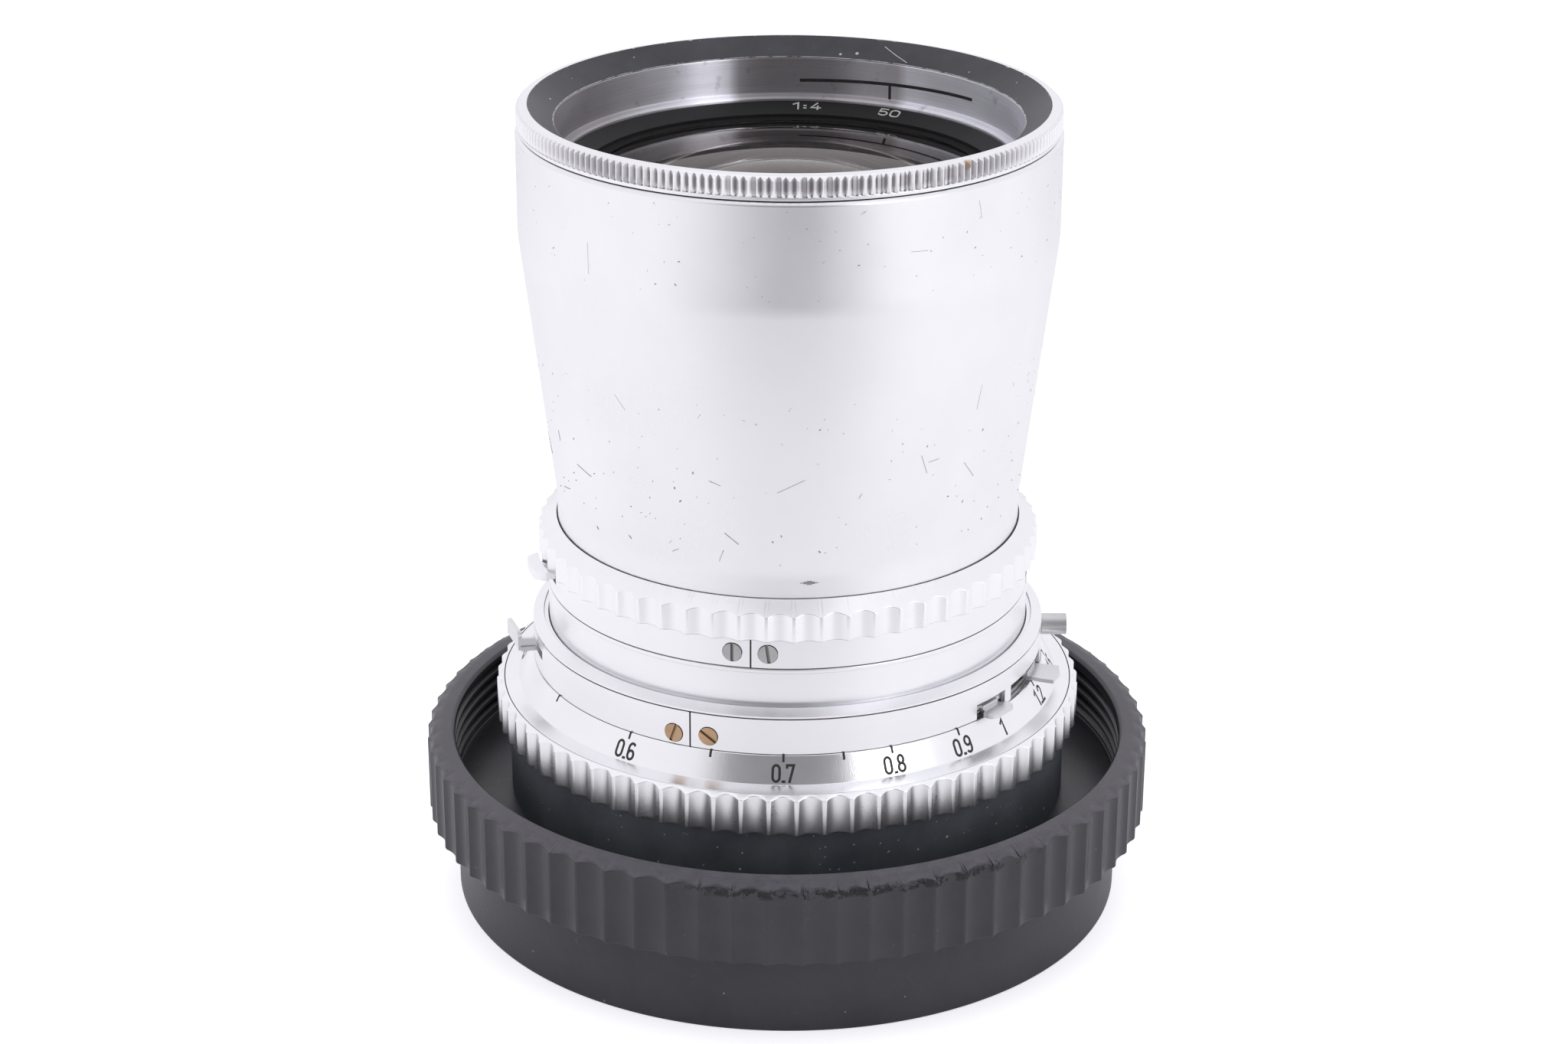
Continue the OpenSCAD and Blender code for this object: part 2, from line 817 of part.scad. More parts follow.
module blade_divider() {
    color([0.2, 0.2, 0.21]) {
        difference() {
            ring(12, case_in_r - 0.05, divider_z, divider_z + 0.5);
            for (i = [0:4])
                rotate([0, 0, 72 * i + 36])
                    translate([28.5, 0, divider_z - 1])
                        cylinder(r = 0.7, h = 3, $fn = 32);
        }
        for (i = [0:4])
            rotate([0, 0, 72 * i])
                translate([shutter_pivot_r, 0, divider_z + 0.25])
                    cylinder(r = pivot_r, h = 1.7, $fn = 32);
    }
}

module shutter_blade(i) {
    color([0.3, 0.3, 0.32])
        rotate([0, 0, 72 * i])
            blade(shutter_pivot_r, shutter_pin_arm, shutter_open_r, shutter_band_r, 118,
                  shutter_z + blade_step * i, shutter_ring_z + ring_t);
}

module shutter_cam_ring() {
    color([0.5, 0.47, 0.4])
        translate([0, 0, shutter_ring_z])
            linear_extrude(ring_t)
                difference() {
                    circle(r = 29);
                    circle(r = 20.6);
                    for (i = [0:4])
                        rotate([0, 0, 72 * i])
                            cam_slot(shutter_pivot_r, shutter_pin_arm, shutter_swing, shutter_turn,
                                     cam_slot_play);
                }
}

module shutter_cover() {
    color([0.16, 0.16, 0.17])
        difference() {
            ring(14.3, case_in_r - 0.05, 58.2, 59.2);
            for (i = [0:2])
                rotate([0, 0, 120 * i + 30])
                    translate([29.5, 0, 57])
                        cylinder(r = 0.7, h = 4, $fn = 32);
        }
}

// ---------- front barrel ----------

module front_barrel() {
    color([0.9, 0.9, 0.91])
        rotate_extrude()
            polygon([
                [31.8, 59.55], [barrel_foot_r - 0.2, 59.55], [barrel_foot_r, 59.75],
                [barrel_foot_r, 65.3], [barrel_r, 106.5], [barrel_r, 121.75], [barrel_r - 0.45, 122.2],
                [38.25, 122.2], [38.25, 118.6], [36.6, 118.6], [36.6, 113.8], [34.8, 112.4],
                [34.8, 104], [31.8, 72]
            ]);
}

module filter_seat() {
    color([0.62, 0.64, 0.68])
        rotate_extrude()
            polygon([
                [33.3, 114], [36.5, 114], [36.5, well_top - 0.3], [36.2, well_top],
                [filter_well_r, well_top], [filter_well_r, well_floor], [33.6, well_floor - 0.25],
                [33.3, well_floor - 0.6]
            ]);
}

module name_ring() {
    color([0.06, 0.06, 0.065])
        rotate_extrude()
            polygon([
                [29.1, 114.8], [33.25, 114.8], [33.25, name_z + 0.05], [name_r, name_z],
                [name_step_r, name_step_z], [name_step_r - 0.1, 115.05], [29.1, 115.05]
            ]);
}

// Knurled ring that screws into the barrel and holds a drop-in filter
module retaining_ring() {
    color([0.84, 0.84, 0.85])
        intersection() {
            rotate_extrude()
                polygon([
                    [34.75, 123.4], [37, 123.4], [37, 119.2], [38.15, 119.2], [38.15, 122.35],
                    [39.8, 122.35], [39.8, 122.95], [knurl_r + 0.1, 123.25], [knurl_r + 0.1, 125.4],
                    [39.5, 125.8], [38.45, rim_top], [38.3, rim_top]
                ]);
            translate([0, 0, 119])
                linear_extrude(8)
                    polygon(toothed(knurl_teeth, knurl_r, 0.42, 0.22, 0));
        }
}

// ---------- optics ----------

module front_cell() {
    color([0.07, 0.07, 0.075])
        rotate_extrude()
            polygon([
                [29.95, 114.75], [33.25, 114.75], [33.25, 106], [21, 68], [21, 60],
                [15.5, 60], [15.5, 70.5], [17.9, 70.5], [17.9, 79.6], [19.5, 79.6], [23.85, 88.5],
                [23.85, 99.5], [29.95, 99.5]
            ]);
}

module front_lens() {
    color([0.75, 0.8, 0.85, 0.35])
        difference() {
            lens_element(29.9, 117.7, 4, 140, -46, 105.5, 125);
            // Flat seat outside the hollow
            translate([0, 0, 105])
                difference() {
                    cylinder(r = 31, h = 1.2);
                    translate([0, 0, -1])
                        cylinder(r = 20, h = 4);
                }
        }
}

module front_spacer() {
    color([0.09, 0.09, 0.1])
        ring(27.6, 29.9, 99.6, 106.1);
}

module second_lens() {
    color([0.75, 0.8, 0.85, 0.35])
        lens_element(23.8, 98.9, 9.8, 60, 80, 88, 99.4);
}

module third_lens() {
    color([0.75, 0.8, 0.85, 0.35])
        lens_element(17.8, 78.5, 2.6, 55, -26, 70.6, 79);
}

module rear_cell() {
    color([0.1, 0.1, 0.11])
        rotate_extrude()
            polygon([
                [13.1, 51.1], [24.3, 51.1], [24.3, 20.5], [19.1, 20.5], [19.1, 31], [13.6, 31],
                [13.6, 45.6], [13.1, 45.6]
            ]);
}

module fourth_lens() {
    color([0.75, 0.8, 0.85, 0.35])
        lens_element(13, 50.4, 3.6, 90, 34, 45.7, 51);
}

module doublet_front_lens() {
    color([0.75, 0.8, 0.85, 0.35])
        lens_element(13.5, 43.2, 2, -60, -30, 38, 44.2);
}

module doublet_rear_lens() {
    color([0.75, 0.8, 0.85, 0.35])
        lens_element(13.5, 41.2, 6.5, 30, 40, 33, 42);
}

module rear_lens() {
    color([0.75, 0.8, 0.85, 0.35])
        lens_element(19, 28, 5.2, 120, 70, 22, 28.5);
}

module rear_lock_ring() {
    color([0.1, 0.1, 0.11])
        ring(17.4, 19, 21, 24.9);
}

case_base();
bayonet_socket();
socket_screws();
mount_plate();
guide_tube();
index_ring();
depth_scale_band();
depth_band_screws();
terminal_sleeve();
terminal_insulator();
terminal_pin();
preview_lever();
sync_lever();
self_timer_lever();
cocking_shaft();
mainspring();
focus_ring();
distance_scale_ring();
focus_cam();
slide_sleeve();
cam_pins();
aperture_ring();
aperture_band();
aperture_band_screws();
coupling_tab();
speed_ring();
shutter_case();
iris_blade(0);  // iris_blade_1
iris_blade(1);  // iris_blade_2
iris_blade(2);  // iris_blade_3
iris_blade(3);  // iris_blade_4
iris_blade(4);  // iris_blade_5
iris_cam_ring();
blade_divider();
shutter_blade(0);  // shutter_blade_1
shutter_blade(1);  // shutter_blade_2
shutter_blade(2);  // shutter_blade_3
shutter_blade(3);  // shutter_blade_4
shutter_blade(4);  // shutter_blade_5
shutter_cam_ring();
shutter_cover();
front_barrel();
filter_seat();
name_ring();
retaining_ring();
front_cell();
front_lens();
second_lens();
third_lens();
front_spacer();
rear_cell();
fourth_lens();
doublet_front_lens();
doublet_rear_lens();
rear_lens();
rear_lock_ring();
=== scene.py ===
"""Studio scene of a leaf-shutter camera lens standing on its case base.

Sizes are in millimetres and become metres when a mesh is made. Azimuths are in degrees about +Z,
and -90 faces the camera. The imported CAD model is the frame: every place comes from its nodes.
"""

import math

import bmesh
import bpy
import numpy as np
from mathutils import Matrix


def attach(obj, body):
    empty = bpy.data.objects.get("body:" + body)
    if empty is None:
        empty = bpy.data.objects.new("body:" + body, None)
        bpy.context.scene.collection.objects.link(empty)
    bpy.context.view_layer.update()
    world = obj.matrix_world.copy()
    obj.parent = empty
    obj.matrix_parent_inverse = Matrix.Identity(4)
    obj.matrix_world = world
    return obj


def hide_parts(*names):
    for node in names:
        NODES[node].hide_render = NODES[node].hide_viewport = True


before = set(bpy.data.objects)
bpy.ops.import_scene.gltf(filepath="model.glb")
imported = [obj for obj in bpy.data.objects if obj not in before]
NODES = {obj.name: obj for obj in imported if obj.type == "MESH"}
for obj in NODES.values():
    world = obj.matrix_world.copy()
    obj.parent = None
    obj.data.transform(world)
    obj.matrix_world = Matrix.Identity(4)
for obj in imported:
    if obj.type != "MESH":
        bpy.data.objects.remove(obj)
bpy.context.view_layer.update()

MM = 0.001
INDEX_AZIMUTH = 51.5
WELL_FLOOR = 117.6
WELL_RADIUS = 34.5
# Azimuth at which the two ends of each strip meet, and the body the strip rides on
BAND_SEAMS = (("depth_scale_band", -111, "lens_mount"), ("aperture_band", -98.3, "aperture"))
rng = np.random.default_rng(7)


# ---------- places taken from the CAD nodes ----------

def span(node):
    """Inner and outer radius, lowest and highest z of a CAD node, in mm."""
    co = np.array([v.co for v in NODES[node].data.vertices]) / MM
    r = np.hypot(co[:, 0], co[:, 1])
    return r.min(), r.max(), co[:, 2].min(), co[:, 2].max()


# ---------- mesh tools ----------

def mesh_object(name, co, faces, body, material, merge=0.0):
    """A mesh piece from points in mm, smooth-shaded with true sharp edges, riding on a body."""
    mesh = bpy.data.meshes.new(name)
    mesh.from_pydata((np.asarray(co) * MM).tolist(), [], np.asarray(faces).tolist())
    if merge:
        bm = bmesh.new()
        bm.from_mesh(mesh)
        bmesh.ops.remove_doubles(bm, verts=bm.verts, dist=merge * MM)
        bmesh.ops.dissolve_degenerate(bm, edges=bm.edges, dist=0.1 * merge * MM)
        bm.to_mesh(mesh)
        bm.free()
    mesh.shade_smooth()
    mesh.set_sharp_from_angle(angle=math.radians(42))
    piece = bpy.data.objects.new(name, mesh)
    bpy.context.scene.collection.objects.link(piece)
    mesh.materials.append(material)
    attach(piece, body)
    return piece


def even_normals(piece):
    """Large faces keep their own normal, so rounded edges shade cleanly."""
    mod = piece.modifiers.new("even_normals", "WEIGHTED_NORMAL")
    mod.keep_sharp = True
    return piece


def round_corners(rows, count, steps):
    """Closed outline with its corners rounded. A row is (r, z) or (r, z, cut); cut is the distance
    from the corner at which the curve starts. r and z are numbers or arrays of count values."""
    points = [np.array([np.broadcast_to(v, count) for v in row[:2]], float) for row in rows]
    outline = []
    for k, corner in enumerate(points):
        cut = rows[k][2] if len(rows[k]) > 2 else 0.12
        if cut == 0:
            outline.append(corner)
            continue
        ends = []
        for other in (points[k - 1], points[(k + 1) % len(points)]):
            side = other - corner
            length = np.maximum(np.hypot(side[0], side[1]), 1e-6)
            ends.append(corner + side * np.minimum(cut / length, 0.45))
        for t in np.linspace(0, 1, steps + 1):
            outline.append((1 - t) ** 2 * ends[0] + 2 * t * (1 - t) * corner + t * t * ends[1])
    return np.array(outline)


def lathe(name, rows, azimuths, body, material, steps=3, seam=False):
    """A ring turned from a closed outline that runs anticlockwise in the (r, z) plane.
    With seam, the last azimuth repeats the first and the two columns are merged."""
    count = len(azimuths)
    outline = round_corners(rows, count, steps)
    r, z = outline[:, 0, :], outline[:, 1, :]
    a = np.radians(azimuths)
    co = np.stack([r * np.cos(a), r * np.sin(a), z], axis=-1).reshape(-1, 3)
    index = np.arange(r.size).reshape(r.shape)
    above = np.roll(index, -1, axis=0)
    quads = np.stack([index, np.roll(index, -1, 1), np.roll(above, -1, 1), above], axis=-1)
    if seam:
        quads = quads[:, :-1]
    merge = 0.002 if seam or r.min() < 0.001 else 0.0
    piece = mesh_object(name, co, quads.reshape(-1, 4), body, material, merge)
    return even_normals(piece)


def around(columns):
    """Evenly spaced azimuths."""
    return np.arange(columns) * 360.0 / columns


def repeat_columns(count, shares, start):
    """Azimuths of a pattern of count periods, sampled at the given shares of a period."""
    return start + ((np.arange(count)[:, None] + np.asarray(shares)[None, :]) * 360 / count).ravel()


def flutes(azimuths, count, radius, depth, land, start, blunt):
    """Radius at each azimuth of a ring with hollow flutes between lands, its edges blunted."""
    total = np.zeros(len(azimuths))
    shifts = np.linspace(-blunt, blunt, 9)
    for shift in shifts:
        u = ((azimuths - start) * count / 360 + shift) % 1
        hollow = 1 - (2 * (u - land) / (1 - land) - 1) ** 2
        total += np.where(u < land, 0, hollow)
    return radius - depth * total / len(shifts)


def flute_shares(land, blunt, arc_steps):
    """Shares of a period at which a flute is sampled: close together at its two edges."""
    near = [-1.2 * blunt, -0.5 * blunt, 0.5 * blunt, 1.2 * blunt]
    arc = [land + (1 - land) * (j + 0.5) / arc_steps for j in range(arc_steps)]
    shares = near + [land + s for s in near] + arc
    return sorted(s % 1 for s in shares)


def wander(count, smooth):
    """Smooth random wave round a circle, about -1 to 1."""
    raw = rng.standard_normal(count)
    spectrum = np.fft.rfft(raw)
    spectrum *= np.exp(-(np.arange(len(spectrum)) * smooth / count) ** 2)
    wave = np.fft.irfft(spectrum, count)
    return wave / (2.2 * wave.std())


# ---------- node materials ----------

class Finish:
    """One node material. Its lengths are in millimetres, in the piece's own coordinates."""

    def __init__(self, name, **settings):
        self.material = bpy.data.materials.new(name)
        self.material.use_nodes = True
        self.tree = self.material.node_tree
        self.bsdf = self.tree.nodes["Principled BSDF"]
        coords = self.node("ShaderNodeTexCoord").outputs["Object"]
        scaled = self.node("ShaderNodeVectorMath", {0: coords}, operation="SCALE")
        scaled.inputs["Scale"].default_value = 1 / MM
        self.place = scaled.outputs[0]
        for key, value in settings.items():
            self.set(key.replace("_", " ").title(), value)

    def node(self, kind, inputs=None, **props):
        made = self.tree.nodes.new(kind)
        for key, value in props.items():
            setattr(made, key, value)
        for key, value in (inputs or {}).items():
            self.feed(made.inputs[key], value)
        return made

    def feed(self, socket, value):
        if isinstance(value, bpy.types.NodeSocket):
            self.tree.links.new(value, socket)
        elif isinstance(value, tuple) and len(value) == 3 and socket.type == "RGBA":
            socket.default_value = (*value, 1)
        else:
            socket.default_value = value

    def set(self, name, value):
        """Feeds one input of the surface shader."""
        names = {"Ior": "IOR", "Specular": "Specular IOR Level", "Coat": "Coat Weight",
                 "Transmission": "Transmission Weight", "Color": "Base Color"}
        self.feed(self.bsdf.inputs[names.get(name, name)], value)

    def math(self, operation, a, b=0.0, c=0.0):
        made = self.node("ShaderNodeMath", {0: a, 1: b, 2: c}, operation=operation)
        return made.outputs[0]

    def axes(self):
        """x, y, z, and the distance from the axis, in mm."""
        split = self.node("ShaderNodeSeparateXYZ", {0: self.place}).outputs
        r = self.math("SQRT", self.math("ADD", self.math("MULTIPLY", split[0], split[0]),
                                        self.math("MULTIPLY", split[1], split[1])))
        return split[0], split[1], split[2], r

    def stretched(self, x=1.0, y=1.0, z=1.0, turn=(0, 0, 0)):
        """The place, turned and scaled along each axis."""
        made = self.node("ShaderNodeMapping", {"Vector": self.place, "Scale": (x, y, z),
                                               "Rotation": tuple(map(math.radians, turn))})
        return made.outputs[0]

    def noise(self, scale, detail=3.0, rough=0.55, at=None, warp=0.0):
        made = self.node("ShaderNodeTexNoise", {
            "Vector": at or self.place, "Scale": scale, "Detail": detail,
            "Roughness": rough, "Distortion": warp})
        return made.outputs[0]

    def between(self, value, low, high, to_low=0.0, to_high=1.0):
        """value rescaled from low..high to to_low..to_high, clamped."""
        made = self.node("ShaderNodeMapRange", {
            "Value": value, "From Min": low, "From Max": high,
            "To Min": to_low, "To Max": to_high}, clamp=True)
        return made.outputs[0]

    def band(self, value, centre, width):
        """1 where value is within width of centre, fading to 0 outside."""
        off = self.math("ABSOLUTE", self.math("SUBTRACT", value, centre))
        return self.between(off, 0.4 * width, width, 1, 0)

    def lines(self, scale, width, share, at=None, warp=0.6):
        """Hair scratches: level lines of a noise, broken up by a second one."""
        field = self.noise(scale, 1.0, 0.4, at, warp)
        line = self.between(self.math("ABSOLUTE", self.math("SUBTRACT", field, 0.5)), 0, width, 1, 0)
        gate = self.between(self.noise(scale * 1.7, 2.0, 0.6), share, share + 0.04)
        return self.math("MULTIPLY", line, gate)

    def specks(self, scale, size, share, at=None):
        """Scattered dots: share of the cells hold a dot of about size, in cells."""
        made = self.node("ShaderNodeTexVoronoi", {"Vector": at or self.place, "Scale": scale})
        chance = self.node("ShaderNodeSeparateColor", {0: made.outputs["Color"]}).outputs
        reach = self.math("MULTIPLY", chance[1], size)
        dot = self.between(self.math("SUBTRACT", made.outputs["Distance"], reach), -0.03, 0.0, 1, 0)
        return self.math("MULTIPLY", dot, self.between(chance[0], 1 - share, 1 - share + 0.001))

    def mix(self, share, first, second):
        """Colour first turning into second as share goes from 0 to 1."""
        made = self.node("ShaderNodeMix", data_type="RGBA")
        self.feed(made.inputs["Factor"], share)
        self.feed(made.inputs[6], first)
        self.feed(made.inputs[7], second)
        return made.outputs[2]

    def crevice_shade(self, distance, strength):
        """Painted shade share in tight corners, from ambient occlusion."""
        made = self.node("ShaderNodeAmbientOcclusion", {"Distance": distance * MM}, samples=4)
        return self.between(made.outputs["AO"], 0.25, 0.95, strength, 0)

    def bump(self, height, depth):
        """Relief of the given depth in mm."""
        made = self.node("ShaderNodeBump", {"Height": height, "Distance": depth * MM, "Strength": 1.0})
        if self.bsdf.inputs["Normal"].is_linked:
            self.feed(made.inputs["Normal"], self.bsdf.inputs["Normal"].links[0].from_socket)
        self.feed(self.bsdf.inputs["Normal"], made.outputs[0])


def grey(level, tint=0.0):
    """A neutral colour, slightly cool for a positive tint."""
    return (level * (1 - 0.5 * tint), level * (1 - 0.4 * tint), level * (1 + tint))


def satin_chrome(name, level=0.80, rough=0.3, corner_shade=0.5, grain=0.004, treat=None):
    """Blasted, chromed metal with painted shade in its corners. treat changes its clean colour."""
    f = Finish(name, metallic=1.0)
    cloud = f.noise(0.05, 4.0, 0.6)
    fine = f.noise(7.0, 2.0, 0.6)
    clean = f.mix(f.between(cloud, 0.35, 0.65), grey(level, 0.012), grey(level * 1.045, 0.012))
    if treat:
        clean = treat(f, clean)
    # Painted shade: the colour turns dark grey in tight corners.
    f.set("Color", f.mix(f.crevice_shade(0.2, corner_shade), clean, (0.15, 0.145, 0.15)))
    f.set("Roughness", f.between(cloud, 0.3, 0.7, rough - 0.03, rough + 0.05))
    f.bump(fine, grain)
    return f.material


def knurl_groove_shade_and_rust(f, clean):
    """Painted shade in the grooves of the knurl, tinted brown, and one spot of rust."""
    _, _, z, r = f.axes()
    # Painted shade: the grooves of the knurl darkened and tinted brown.
    groove = f.math("MULTIPLY", f.between(r, 39.95, 39.7), f.band(z, 124.35, 1.35))
    clean = f.mix(f.math("MULTIPLY", groove, 0.5), clean, (0.26, 0.22, 0.22))
    away = f.node("ShaderNodeVectorMath", {0: f.place, 1: (24.6, -31.4, 125.2)}, operation="DISTANCE")
    ragged = f.math("ADD", away.outputs["Value"], f.between(f.noise(1.5, 4.0, 0.7), 0.3, 0.7, -0.4, 0.4))
    return f.mix(f.between(ragged, 0.4, 1.0, 0.75, 0), clean, (0.5, 0.3, 0.16))


def black_plastic():
    """Scuffed moulded plastic, greyer where hands and shelves have rubbed it."""
    f = Finish("scuffed_black_plastic", ior=1.5)
    x, y, z, r = f.axes()
    low, top = span("case_base")[1] - 4.0, span("case_base")[3]
    cloud = f.noise(0.06, 5.0, 0.65)
    rub = f.noise(0.9, 6.0, 0.7)
    facing = f.node("ShaderNodeNewGeometry").outputs["Normal"]
    facing = f.node("ShaderNodeSeparateXYZ", {0: facing}).outputs[2]
    edge = f.math("MULTIPLY", f.between(r, low, low + 0.3), f.between(facing, 0.35, 0.7))
    edge = f.math("MULTIPLY", edge, f.between(z, top - 2.4, top - 2.0))
    worn = f.math("MULTIPLY", edge, f.between(rub, 0.3, 0.6, 0.55, 1))
    broken = f.math("MULTIPLY", f.between(x, -20, -8), f.between(y, -40, -50))
    broken = f.math("MULTIPLY", broken, f.band(z, top - 1.5, 0.9))
    broken = f.math("MULTIPLY", broken, f.between(f.noise(0.5, 5.0, 0.75), 0.52, 0.56))
    dust = f.math("ADD", f.specks(0.45, 0.09, 0.25), f.specks(1.1, 0.1, 0.1))
    hair = f.lines(0.12, 0.0035, 0.6)
    base = f.mix(f.between(cloud, 0.35, 0.7), (0.030, 0.030, 0.037), (0.044, 0.044, 0.054))
    base = f.mix(f.math("MULTIPLY", worn, 0.85), base, (0.105, 0.1, 0.115))
    base = f.mix(f.math("MULTIPLY", hair, 0.25), base, (0.16, 0.16, 0.17))
    base = f.mix(broken, base, (0.004, 0.004, 0.006))
    f.set("Color", f.mix(f.math("MULTIPLY", dust, 0.7), base, (0.28, 0.28, 0.3)))
    f.set("Roughness", f.math("ADD", f.between(cloud, 0.3, 0.7, 0.28, 0.38), f.math("MULTIPLY", worn, 0.15)))
    f.bump(f.noise(1.3, 4.0, 0.6), 0.02)
    f.bump(f.math("MULTIPLY", broken, rub), 0.3)
    return f.material


def socket_black():
    """Matt black lacquer, slightly blue, with settled dust."""
    f = Finish("dusty_black_lacquer", ior=1.45)
    cloud = f.noise(0.09, 4.0, 0.6)
    dust = f.math("ADD", f.specks(0.5, 0.17, 0.45), f.specks(1.4, 0.2, 0.3))
    fibre = f.lines(0.22, 0.004, 0.6)
    base = f.mix(f.between(cloud, 0.3, 0.7), (0.058, 0.065, 0.078), (0.105, 0.114, 0.130))
    base = f.mix(f.math("MULTIPLY", fibre, 0.4), base, (0.3, 0.32, 0.34))
    f.set("Color", f.mix(f.math("MULTIPLY", dust, 0.7), base, (0.6, 0.63, 0.66)))
    f.set("Roughness", f.between(cloud, 0.3, 0.7, 0.5, 0.62))
    f.bump(f.noise(5.0, 3.0, 0.6), 0.006)
    return f.material


def black_paint(name, level=0.012, rough=0.38, chips=0.0, tint=0.08, lips=()):
    """Black enamel. A lip is (radius, width, share): bare metal shows through where it has worn."""
    f = Finish(name, ior=1.5, specular=0.32)
    r = f.axes()[3]
    cloud = f.noise(0.12, 4.0, 0.6)
    specks = f.math("ADD", f.specks(0.35, 0.12, chips), f.specks(1.3, 0.12, chips * 0.3))
    color = f.mix(f.between(cloud, 0.3, 0.7), grey(level, tint), grey(level * 1.6, tint))
    color = f.mix(specks, color, grey(0.5))
    for radius, width, share in lips:
        gone = f.between(f.noise(0.7, 5.0, 0.7), 0.62 - 0.25 * share, 0.7 - 0.25 * share)
        color = f.mix(f.math("MULTIPLY", f.band(r, radius, width), gone), color, grey(0.55))
    f.set("Color", color)
    f.set("Roughness", f.between(cloud, 0.3, 0.7, rough, rough + 0.1))
    f.bump(f.noise(4.0, 3.0, 0.6), 0.004)
    return f.material


def turned_metal(name, color, rough=0.3, corner_shade=0.4, reach=0.3, pitch=9.0):
    """Bare metal with the fine rings of a lathe cut round the axis."""
    f = Finish(name, metallic=1.0)
    _, _, z, r = f.axes()
    across, along = f.math("MULTIPLY", r, pitch), f.math("MULTIPLY", z, pitch)
    rings = f.node("ShaderNodeCombineXYZ", {0: across, 1: along, 2: 0.0})
    cut = f.noise(1.0, 3.0, 0.7, rings.outputs[0])
    cloud = f.noise(0.1, 4.0, 0.6)
    # Painted shade in tight corners, within reach mm, together with real dust specks, darkens the colour.
    dust_and_shade = f.math("MAXIMUM", f.crevice_shade(reach, corner_shade), f.math("MULTIPLY", f.specks(0.5, 0.12, 0.3), 0.5))
    dark = tuple(0.72 * c for c in color)
    f.set("Color", f.mix(dust_and_shade, f.mix(f.between(cloud, 0.35, 0.7), color, dark), (0.06, 0.05, 0.045)))
    f.set("Roughness", f.between(cut, 0.3, 0.7, rough, rough + 0.12))
    f.bump(cut, 0.004)
    return f.material


def brushed_seat():
    """Wall of the filter well: steel brushed round the axis, so that it gleams up and down."""
    f = Finish("brushed_filter_seat", metallic=1.0, anisotropic=0.92, anisotropic_rotation=0.25)
    x, y = f.axes()[:2]
    streak = f.noise(1.0, 4.0, 0.7, f.stretched(0.05, 0.05, 6.0))
    cloud = f.noise(0.12, 4.0, 0.6)
    stain = f.between(f.noise(0.35, 5.0, 0.65), 0.6, 0.72)
    spots = f.specks(0.25, 0.12, 0.35)
    # Painted dark reflection: the wall darker and browner round azimuth 82 and from 114 to 145 degrees.
    azimuth = f.math("ARCTAN2", y, x)
    off = f.math("ABSOLUTE", f.math("SUBTRACT", azimuth, math.radians(82)))
    painted_wall_shade = f.between(off, math.radians(21), math.radians(24), 0.5, 0)
    painted_wall_shade = f.math("MAXIMUM", painted_wall_shade, f.between(azimuth, math.radians(114), math.radians(145), 0, 0.55))
    steel = f.mix(f.between(streak, 0.3, 0.7), grey(0.8, 0.04), grey(0.98, 0.04))
    steel = f.mix(painted_wall_shade, steel, (0.2, 0.16, 0.15))
    steel = f.mix(f.math("MULTIPLY", stain, 0.4), steel, (0.2, 0.17, 0.16))
    f.set("Color", f.mix(spots, steel, (0.03, 0.03, 0.03)))
    f.set("Roughness", f.between(cloud, 0.3, 0.7, 0.34, 0.42))
    f.set("Tangent", f.node("ShaderNodeTangent", direction_type="RADIAL", axis="Z").outputs[0])
    f.bump(streak, 0.006)
    return f.material


def ink(name, color, rough=0.55):
    """Enamel rubbed into an engraving."""
    f = Finish(name)
    worn = f.between(f.noise(1.8, 4.0, 0.7), 0.35, 0.75)
    f.set("Color", f.mix(worn, color, tuple(0.65 * c + 0.03 for c in color)))
    f.set("Roughness", f.between(f.noise(3.0), 0.3, 0.7, rough - 0.1, rough + 0.1))
    f.bump(f.noise(6.0), 0.003)
    return f.material


def coated_glass():
    """Optical glass under one thin anti-reflection layer, with a little dust."""
    f = Finish("coated_glass", transmission=1.0, ior=1.52, color=(0.985, 0.99, 0.985))
    f.set("Thin Film Thickness", 118.0)
    f.set("Thin Film IOR", 1.38)
    smear = f.between(f.noise(0.15, 4.0, 0.6), 0.45, 0.75)
    dust = f.specks(0.5, 0.04, 0.3)
    f.set("Roughness", f.math("ADD", f.math("MULTIPLY", smear, 0.02), f.math("MULTIPLY", dust, 0.4)))
    f.bump(f.math("SUBTRACT", 1.0, dust), 0.004)
    return f.material


def blade_steel():
    """Thin blued steel, rubbed bright along faint arcs."""
    f = Finish("blued_blade_steel", metallic=1.0)
    rub = f.noise(0.5, 4.0, 0.6)
    f.set("Color", f.mix(f.between(rub, 0.4, 0.7), (0.055, 0.06, 0.07), (0.12, 0.125, 0.135)))
    f.set("Roughness", f.between(rub, 0.3, 0.7, 0.34, 0.5))
    f.bump(f.noise(3.0), 0.002)
    return f.material


CHROME = satin_chrome("satin_chrome_rings", level=0.94, corner_shade=0.3)
SCALE = satin_chrome("satin_chrome_scale", level=0.94, rough=0.2, corner_shade=0.3, grain=0.012)
BARREL = satin_chrome("satin_chrome_barrel", level=0.91, rough=0.29, corner_shade=0.25, grain=0.0015)
FLUTED = satin_chrome("satin_chrome_flutes", level=0.955, rough=0.26, corner_shade=0.4, grain=0.0015)
KNURL = satin_chrome("chromed_knurl", level=0.92, rough=0.22, corner_shade=0.9, grain=0.001, treat=knurl_groove_shade_and_rust)
